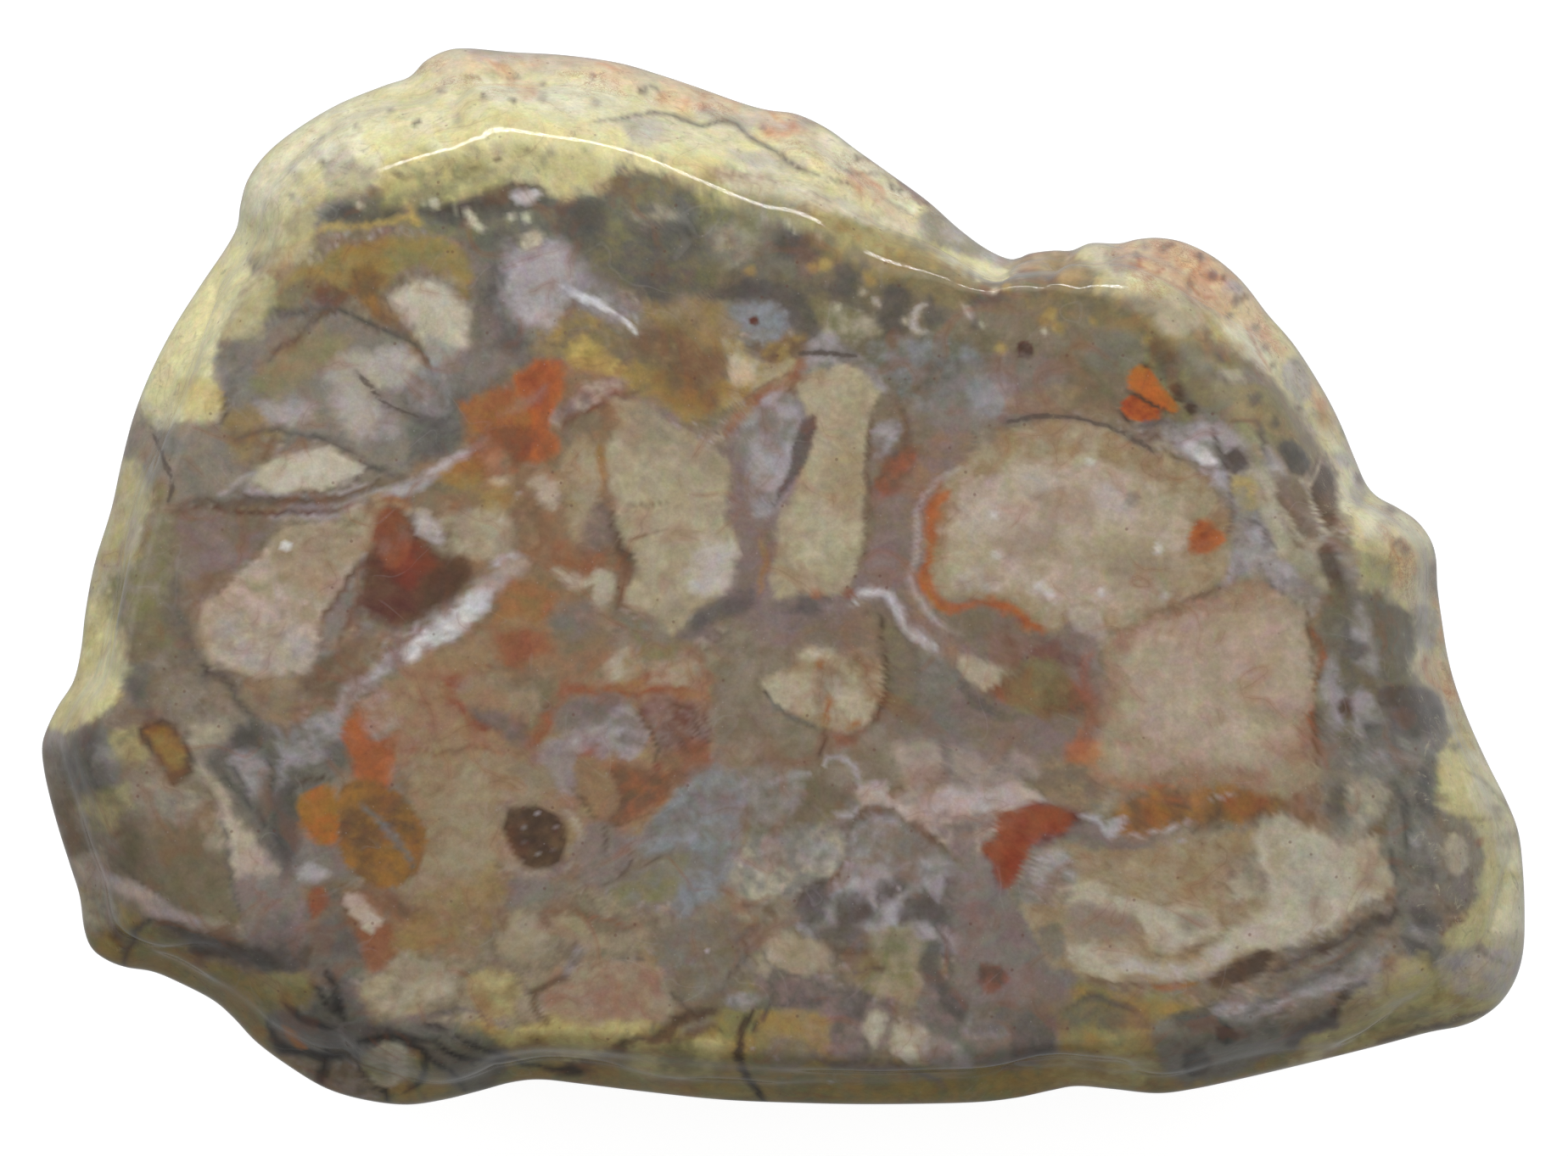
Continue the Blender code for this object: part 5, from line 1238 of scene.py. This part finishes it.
# Last touches all over: gold chips, orange edges, rust wedge, rind specks and pale places
patch amber brown 3 .95: 402 930 440 920 478 942 500 980 494 1026 470 1044 446 1048 420 1030 402 1004
stroke blue_grey slate 9 3 .8: 424 948 450 972 476 1004 488 1024
patch amber orange 3 .95: 354 942 374 928 397 934 396 990 376 996 358 980
patch moss brown 6 .75: 1180 792 1220 776 1256 790 1262 830 1230 848 1190 830
stroke orange rust 9 4 .75: 1110 570 1099 600 1096 640 1092 672 1100 700 1130 716 1160 712 1200 722 1228
746
stroke orange salmon 6 4 .6: 1272 850 1280 890 1310 922 1360 930 1404 920; 1336 950 1380 940 1420 944
stroke umber brown 5 3 .8: 1537 700 1546 760 1544 800; 1549 826 1552 880 1552 916
spots milk 1.5 2 .6: 613 962 632 958 654 973 621 975 608 984 641 995 650 1004 616 994 634 1008
spots white 4 2 .7 2: 334 642 340 644
spots milk 2 2 .7: 980 1275 916 1247 886 1236 834 1122 1030 1180 1072 1018 1050 1062 1060 1048 992 1048
1060 1032
spots milk 2 3 .75: 584 618 591 612 612 586 586 664 604 658 490 628 560 610
patch straw bone 9 .85: 112 560 160 545 174 590 160 650 130 690 106 716 104 640
patch custard straw 8 .6: 96 716 124 706 138 740 132 780 98 796 86 770
patch gold moss 7 .6: 200 1146 250 1150 290 1180 270 1190 220 1176; 740 1240 830 1236 850 1262 750 1266
patch parchment pink 9 .6: 1300 884 1350 880 1390 890 1380 912 1320 912
patch grey mauve 8 .5: 390 178 420 190 440 210 410 226 380 210
patch rust red 4 .85: 1174 968 1198 950 1248 950 1264 966 1238 984 1212 1004 1192 1046 1178 1012
patch gold olive 9 .55: 1236 300 1330 330 1410 352 1470 420 1400 420 1330 390 1260 372 1200 350
patch gold moss 8 .5: 960 250 1060 280 1150 330 1130 360 1040 330 960 290
spots ochre gold 5 4 .6: 1100 300 1130 318 1186 340 1240 366 1290 380 1322 350 1060 300 1352 400 1010 280
spots smoke dark_slate 7 4 .7: 1020 316 1050 344 1096 352 1150 384 1240 330 1400 390 1440 420 1480 470
1500 500
stroke dark_slate smoke 13 5 .65: 1644 1080 1604 1116 1560 1146 1500 1176 1456 1196
stroke milk grey 5 4 .5: 1640 1120 1600 1150 1550 1176 1500 1206
spots smoke brown 4 3 .7: 1340 300 1380 288 1412 304 1440 328 1466 352 1482 384 1450 372 1500 430 1530 480
stroke orange rust 4 3 .6: 1330 310 1360 322 1380 316; 1400 330 1420 350 1436 352; 1470 380 1480 410 1500
440
spots mauve smoke 4 3 .6: 520 110 560 92 640 100 700 90 760 110 830 130 900 150 460 130 420 150 380 190
340 230
stroke orange peach 4 3 .6: 560 66 600 76 640 74; 700 76 740 84; 860 112 900 128 930 146; 1010 200 1040
226
patch straw ochre 6 .7: 214 448 244 440 260 462 256 486 226 492 206 480
patch straw moss 7 .7: 742 1234 780 1230 840 1232 846 1262 800 1274 748 1268
patch salmon rust 5 .6: 446 606 470 600 484 640 470 668 448 664 436 636
patch lilac milk 8 .6: 606 300 660 300 680 340 650 380 612 370
patch grey bone 7 .6: 92 1056 124 1050 140 1080 120 1100 96 1092
patch grey lilac 8 .55: 484 440 520 436 536 460 520 488 490 486
patch bone straw 7 .55: 1620 1148 1680 1140 1690 1176 1630 1200 1590 1222 1580 1200
patch grey lilac 8 .5: 870 920 930 910 950 940 920 970 880 970
patch pink bone 8 .5: 1050 880 1100 876 1110 910 1070 930
patch bone parchment 7 .6: 1366 352 1400 346 1416 380 1390 400 1366 386
"""


def paint_back(p):
    """The hidden back: the face's tones run a little way down and give way to mottled rind."""
    grain = Grain(9)
    wide = grain.at(p.points, 16, 4)
    small = grain.at(p.points + 40, 5, 3)
    streak = grain.at(p.points * (1, 1, 0.35) + 90, 7, 3)
    down = ease((p.depth - STREAK_DEPTH[0] + 0.25 * streak) / (STREAK_DEPTH[1] - STREAK_DEPTH[0]))
    rind = lerp(linear(TONES["straw"]), linear(TONES["rind_cream"]), ease(0.5 + wide)[:, None])
    for name, values, low, strength in (
        ("peach", streak, 0.12, 0.7), ("moss", small, 0.15, 0.6), ("grey", wide + 0.4 * small, 0.26, 0.5),
        ("ochre", small - wide, 0.3, 0.6), ("slate", streak + 0.5 * small, 0.42, 0.4),
    ):
        share = strength * ease((values - low) / 0.22)
        rind = lerp(rind, linear(TONES[name]), share[:, None])
    low = 0.8 * ease((p.places[:, 1] - 950) / 200)
    rind = lerp(rind, linear(TONES["moss"]), low[:, None])
    rind = rind * (0.92 + 0.16 * grain.at(p.points + 7, 2.2, 2))[:, None]
    p.tone = lerp(p.tone, rind, down[:, None])
    for values in (p.crack, p.haze):
        values *= 1 - down
    p.rind = np.maximum(p.rind, down)
    p.seam = np.maximum(p.seam, 0.8 * down)


def paint_stone(p):
    paint_ground(p)
    p.marks(MARKS)
    # Painted shade: the tones grow darker towards the foot of the face, where less light falls
    p.tone *= lerp(1, FOOT_PAINTED_SHADE, ease((p.places[:, 1] - 420) / 620))[:, None]
    p.tone = 0.5 * (p.tone / 0.5) ** DEPTH_OF_TONE
    p.field("rind", "40 700 130 500 200 350 300 200 420 40 760 20 1000 120 1130 260 1080 275 1000 240 "
        "800 190 660 215 500 215 350 250 280 330 220 480 130 560 110 760", 0.7)
    p.field("rind", "1300 260 1450 280 1560 420 1640 570 1740 640 1780 880 1830 1000 1820 1180 1700 1230 "
        "1660 1120 1660 900 1640 700 1560 600 1500 430 1380 340 1300 320", 0.8)
    p.field("rind", "30 840 140 820 160 940 120 1020 240 1130 300 1180 200 1180 90 1120 40 980", 0.25)
    p.field("seam", "480 50 760 60 1000 140 1120 260 1000 215 900 170 760 120 500 110", 0.9, 14)
    p.field("seam", "1320 260 1450 280 1560 420 1480 420 1430 370 1330 330", 1, 14)
    p.field("seam", "1600 570 1720 620 1740 800 1780 900 1720 870 1670 720 1620 640", 0.8, 14)
    paint_back(p)


class Value:
    """A shader socket that can be used in arithmetic; each operation adds its Math node."""

    def __init__(self, finish, socket):
        self.finish, self.socket = finish, socket

    def _math(self, operation, *values):
        return self.finish.node("ShaderNodeMath", {"operation": operation}, dict(enumerate(values)))["Value"]

    def __add__(self, other):
        return self._math("ADD", self, other)

    def __radd__(self, other):
        return self._math("ADD", other, self)

    def __sub__(self, other):
        return self._math("SUBTRACT", self, other)

    def __rsub__(self, other):
        return self._math("SUBTRACT", other, self)

    def __mul__(self, other):
        return self._math("MULTIPLY", self, other)

    def __rmul__(self, other):
        return self._math("MULTIPLY", other, self)

    def ramp(self, low, high):
        """0 below low, 1 above high, and eased between them."""
        settings = {"interpolation_type": "SMOOTHSTEP"}
        return self.finish.node("ShaderNodeMapRange", settings,
                                {"Value": self, "From Min": low, "From Max": high})["Result"]


class Finish:
    """The nodes of a material, or of the light around the scene."""

    def __init__(self, owner):
        owner.use_nodes = True
        self.tree = owner.node_tree

    def node(self, kind, settings=None, sockets=None):
        """Adds a node: its settings first, then the values or links of its sockets."""
        made = self.tree.nodes.new(kind)
        for name, value in (settings or {}).items():
            setattr(made, name, value)
        self.fill(made, sockets or {})
        return Outputs(self, made)

    def fill(self, made, sockets):
        for name, value in sockets.items():
            socket = made.inputs[name]
            if isinstance(value, Value):
                self.tree.links.new(value.socket, socket)
            else:
                socket.default_value = value

    def surface(self, **sockets):
        named = {name.replace("_", " "): value for name, value in sockets.items()}
        self.fill(self.tree.nodes["Principled BSDF"], named)

    def stained(self, share, colour, name):
        """The colour, with a share of one of the stone's tones over it."""
        settings = {"data_type": "RGBA", "clamp_factor": True}
        over = (*linear(TONES[name]).tolist(), 1)
        return self.node("ShaderNodeMix", settings, {0: share, 6: colour, 7: over})[2]

    def vector(self, operation, *values):
        return self.node("ShaderNodeVectorMath", {"operation": operation}, dict(enumerate(values)))["Vector"]

    def scaled(self, colour, factor):
        sockets = {0: colour, "Scale": factor}
        return self.node("ShaderNodeVectorMath", {"operation": "SCALE"}, sockets)["Vector"]

    def speckle(self, where, per_mm, detail=3.0, roughness=0.55, distortion=0.0, output="Fac"):
        """Noise of a given fineness, about 0.5 in the middle."""
        return self.node("ShaderNodeTexNoise", {"noise_dimensions": "3D"}, {
            "Vector": where, "Scale": per_mm, "Detail": detail, "Roughness": roughness,
            "Distortion": distortion,
        })[output]

    def dots(self, where, per_mm, radius, fade, part):
        """Small round dots in some of the cells of a random pattern, picked by one part of their colour."""
        cells = self.node("ShaderNodeTexVoronoi", None, {"Vector": where, "Scale": per_mm})
        parts = self.node("ShaderNodeSeparateColor", None, {"Color": cells["Color"]})
        return (radius - cells["Distance"]).ramp(0.0, fade) * parts[part].ramp(0.86, 0.9)


class Outputs:
    """A node's outputs, by name or number."""

    def __init__(self, finish, made):
        self.finish, self.made = finish, made

    def __getitem__(self, name):
        return Value(self.finish, self.made.outputs[name])


def threads(noise_value, middle, sharpness):
    """Thin threads where a noise passes through a middle value."""
    off = noise_value - middle
    return 1 - (off * off * sharpness).ramp(0.0, 1.0)


def polished_agate():
    """Glossy agate over the painted tones: clouds, grain, fine cracks, quartz specks with painted glints,
    and rind specks.
    """
    material = bpy.data.materials.new("polished_agate")
    finish = Finish(material)
    colour = finish.node("ShaderNodeAttribute", {"attribute_name": "tone"})["Color"]
    fields = finish.node("ShaderNodeAttribute", {"attribute_name": "fields"})
    split = finish.node("ShaderNodeSeparateColor", None, {"Color": fields["Color"]})
    crack, haze, rind, seam = split["Red"], split["Green"], split["Blue"], fields["Alpha"]
    where = finish.scaled(finish.node("ShaderNodeTexCoord")["Object"], 1 / MM)

    cloud = finish.speckle(where, 0.5, 5, 0.62, 0.6)
    grain = finish.speckle(where, 1.8, 4, 0.62, 0.4)
    dust = finish.speckle(where, 6.0, 2, 0.6)
    colour = finish.scaled(colour, 0.36 + 0.62 * cloud + 0.40 * grain + 0.28 * dust)

    # Warm and cool stains, and pink and green ones
    tint = finish.speckle(where, 0.8, 4, 0.6, 0.8, "Color")
    tint = finish.vector("MULTIPLY_ADD", tint, (0.34, 0.34, 0.44), (0.83, 0.83, 0.78))
    colour = finish.vector("MULTIPLY", colour, tint)

    # Veinlets, dark and pale, in patches
    vein = finish.speckle(where, 0.20, 2, 0.4, 0.8)
    patchy = finish.speckle(where, 0.28, 3)
    stain = threads(vein, 0.5, 260) * patchy.ramp(0.44, 0.6) * (1 - rind)
    colour = finish.stained(0.22 * stain, colour, "rust")
    dark_vein = threads(vein, 0.5, 9000) * patchy.ramp(0.44, 0.56)
    colour = finish.stained(0.16 * dark_vein, colour, "brown")
    pale_vein = threads(vein, 0.41, 5000) * (1 - patchy).ramp(0.46, 0.6)
    colour = finish.stained(0.07 * pale_vein, colour, "milk")

    # Milky quartz
    wisp = finish.speckle(where, 1.1, 6, 0.7, 1.5).ramp(0.46, 0.72)
    colour = finish.stained(haze * (0.12 + 0.6 * wisp), colour, "milk")

    # Cracks with frayed edges, in a soft shade
    fray = finish.speckle(where, 2.6, 4, 0.65)
    shade = (crack + 0.55 * (fray - 0.5)).ramp(0.62, 0.98)
    colour = finish.stained(0.75 * shade, colour, "umber")
    halo = (crack + 0.5 * (cloud - 0.5)).ramp(0.1, 0.9)
    colour = finish.stained(0.3 * halo, colour, "smoke")

    # Bright crystals as white dots with painted glints, most of them in the milky quartz, and dark-red motes
    crystal_glints = finish.dots(where, 2.2, 0.17, 0.1, "Red") * (0.16 + haze).ramp(0.0, 0.7)
    colour = finish.stained(0.75 * crystal_glints, colour, "white")
    colour = finish.stained(0.5 * finish.dots(where, 1.3, 0.2, 0.12, "Green"), colour, "maroon")

    # Grey and pale veil of the rind, and its rusty threads
    veil = finish.speckle(where, 0.9, 6, 0.75, 0.8)
    colour = finish.stained(0.5 * rind * veil.ramp(0.55, 0.7), colour, "smoke")
    colour = finish.stained(0.5 * rind * (1 - veil).ramp(0.56, 0.7), colour, "rind_cream")
    thread = threads(finish.speckle(where, 1.4, 5, 0.7, 2.0), 0.5, 900)
    colour = finish.stained(0.6 * seam * thread * patchy.ramp(0.46, 0.58), colour, "rust")

    polish = 0.06 + 0.10 * haze * wisp + 0.05 * grain + 0.25 * shade
    relief = 0.6 * grain + 0.25 * dust - 1.2 * shade
    bump = finish.node("ShaderNodeBump", None, {
        "Strength": BUMP_STRENGTH, "Distance": BUMP_DISTANCE, "Height": relief,
    })
    finish.surface(Base_Color=colour, Roughness=polish, Normal=bump["Normal"])
    finish.surface(IOR=AGATE_IOR, Specular_IOR_Level=AGATE_SHINE, Metallic=0.0)
    return material


def pale_floor():
    """Matt grey that glows a little, so that it shows nearly white."""
    material = bpy.data.materials.new("pale_floor")
    finish = Finish(material)
    grain = finish.speckle(finish.node("ShaderNodeTexCoord")["Object"], 60.0)
    finish.surface(Base_Color=finish.scaled(FLOOR_GREY, 0.99 + 0.02 * grain), Roughness=0.9)
    finish.surface(Emission_Color=(1.0, 1.0, 1.0, 1), Emission_Strength=FLOOR_GLOW)
    return material


def put(name, data):
    """A new object in the scene."""
    made = bpy.data.objects.new(name, data)
    bpy.context.scene.collection.objects.link(made)
    return made


def make_stone():
    """The whole stone as one fine mesh with its painted tones and fields."""
    points, faces, places, depth = stone_skin()
    painter = Painter(points, places, depth)
    paint_stone(painter)
    shape = bpy.data.meshes.new("coprolite_stone")
    shape.from_pydata((points * MM).tolist(), [], faces.tolist())
    shape.shade_smooth()
    for name, values in (
        ("tone", np.column_stack([painter.tone, np.ones(len(points))])),
        ("fields", np.column_stack([painter.crack, painter.haze, painter.rind, painter.seam])),
    ):
        layer = shape.attributes.new(name, "FLOAT_COLOR", "POINT")
        layer.data.foreach_set("color", np.clip(values, 0, 1).astype(np.float32).ravel())
    shape.materials.append(polished_agate())
    return put("coprolite_stone", shape)


def make_floor():
    """A wide pale floor that the stone's light and reflections leave out."""
    shape = bpy.data.meshes.new("floor")
    corners = [(x * FLOOR_HALF, y * FLOOR_HALF, 0) for x, y in ((-1, -1), (1, -1), (1, 1), (-1, 1))]
    shape.from_pydata(corners, [], [(0, 1, 2, 3)])
    shape.materials.append(pale_floor())
    floor = put("floor", shape)
    floor.location = (0, 0, -FLOOR_DROP)
    floor.visible_diffuse = False
    floor.visible_glossy = False
    return floor


def make_camera():
    """Looks straight down, framed as the photograph is."""
    lens = bpy.data.cameras.new("camera")
    lens.sensor_width = 36.0
    lens.lens = lens.sensor_width * CAMERA_DISTANCE * PIXELS_PER_MM / FRAME_PIXELS[0]
    lens.clip_end = 100.0
    camera = put("camera", lens)
    across = (FRAME_PIXELS[0] / 2 - ORIGIN_PIXEL[0]) / PIXELS_PER_MM
    up = (ORIGIN_PIXEL[1] - FRAME_PIXELS[1] / 2) / PIXELS_PER_MM
    camera.location = Vector((across, up, WIDEST_LINE_HEIGHT + CAMERA_DISTANCE)) * MM
    bpy.context.scene.camera = camera


def thin_light(name, height):
    """A long thin light beyond the top of the photograph, for the gloss lines along the upper rind."""
    lamp = bpy.data.lights.new(name, "AREA")
    lamp.shape = "RECTANGLE"
    lamp.size, lamp.size_y = STRIP_SIZE
    lamp.energy = STRIP_POWER
    light = put(name, lamp)
    light.location = (0, STRIP_DISTANCE, height)
    light.rotation_mode = "QUATERNION"
    light.rotation_quaternion = (Vector((0, 0, 0.02)) - light.location).to_track_quat("-Z", "Y")


def light_studio():
    """A white tent, brighter beyond the top of the photograph, dim straight above and dark low down."""
    world = bpy.data.worlds.new("white_tent")
    bpy.context.scene.world = world
    tent = Finish(world)
    away = tent.node("ShaderNodeTexCoord")["Generated"]
    split = tent.node("ShaderNodeSeparateXYZ", None, {"Vector": away})
    opening = split["Z"].ramp(*TENT_OPENING)
    above = split["Z"].ramp(*TENT_HORIZON)
    wall = TENT_GLOW + TENT_SLANT * split["Y"] - 0.35 * TENT_SLANT * split["X"]
    foot = (0 - split["Y"] - 0.2 * split["X"]).ramp(0.05, 0.6)
    glow = (TENT_LOW + (wall - TENT_LOW) * above) * (1 - TENT_DIM * opening) * (1 - TENT_FOOT * foot)
    tent.fill(tent.tree.nodes["Background"], {"Color": (1.0, 1.0, 1.0, 1), "Strength": glow})
    for name, height in STRIP_HEIGHTS:
        thin_light(name, height)
    bpy.context.scene.view_settings.view_transform = "Standard"


make_camera()
light_studio()
make_floor()
stone = make_stone()
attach(stone, "root")
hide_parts("coprolite")
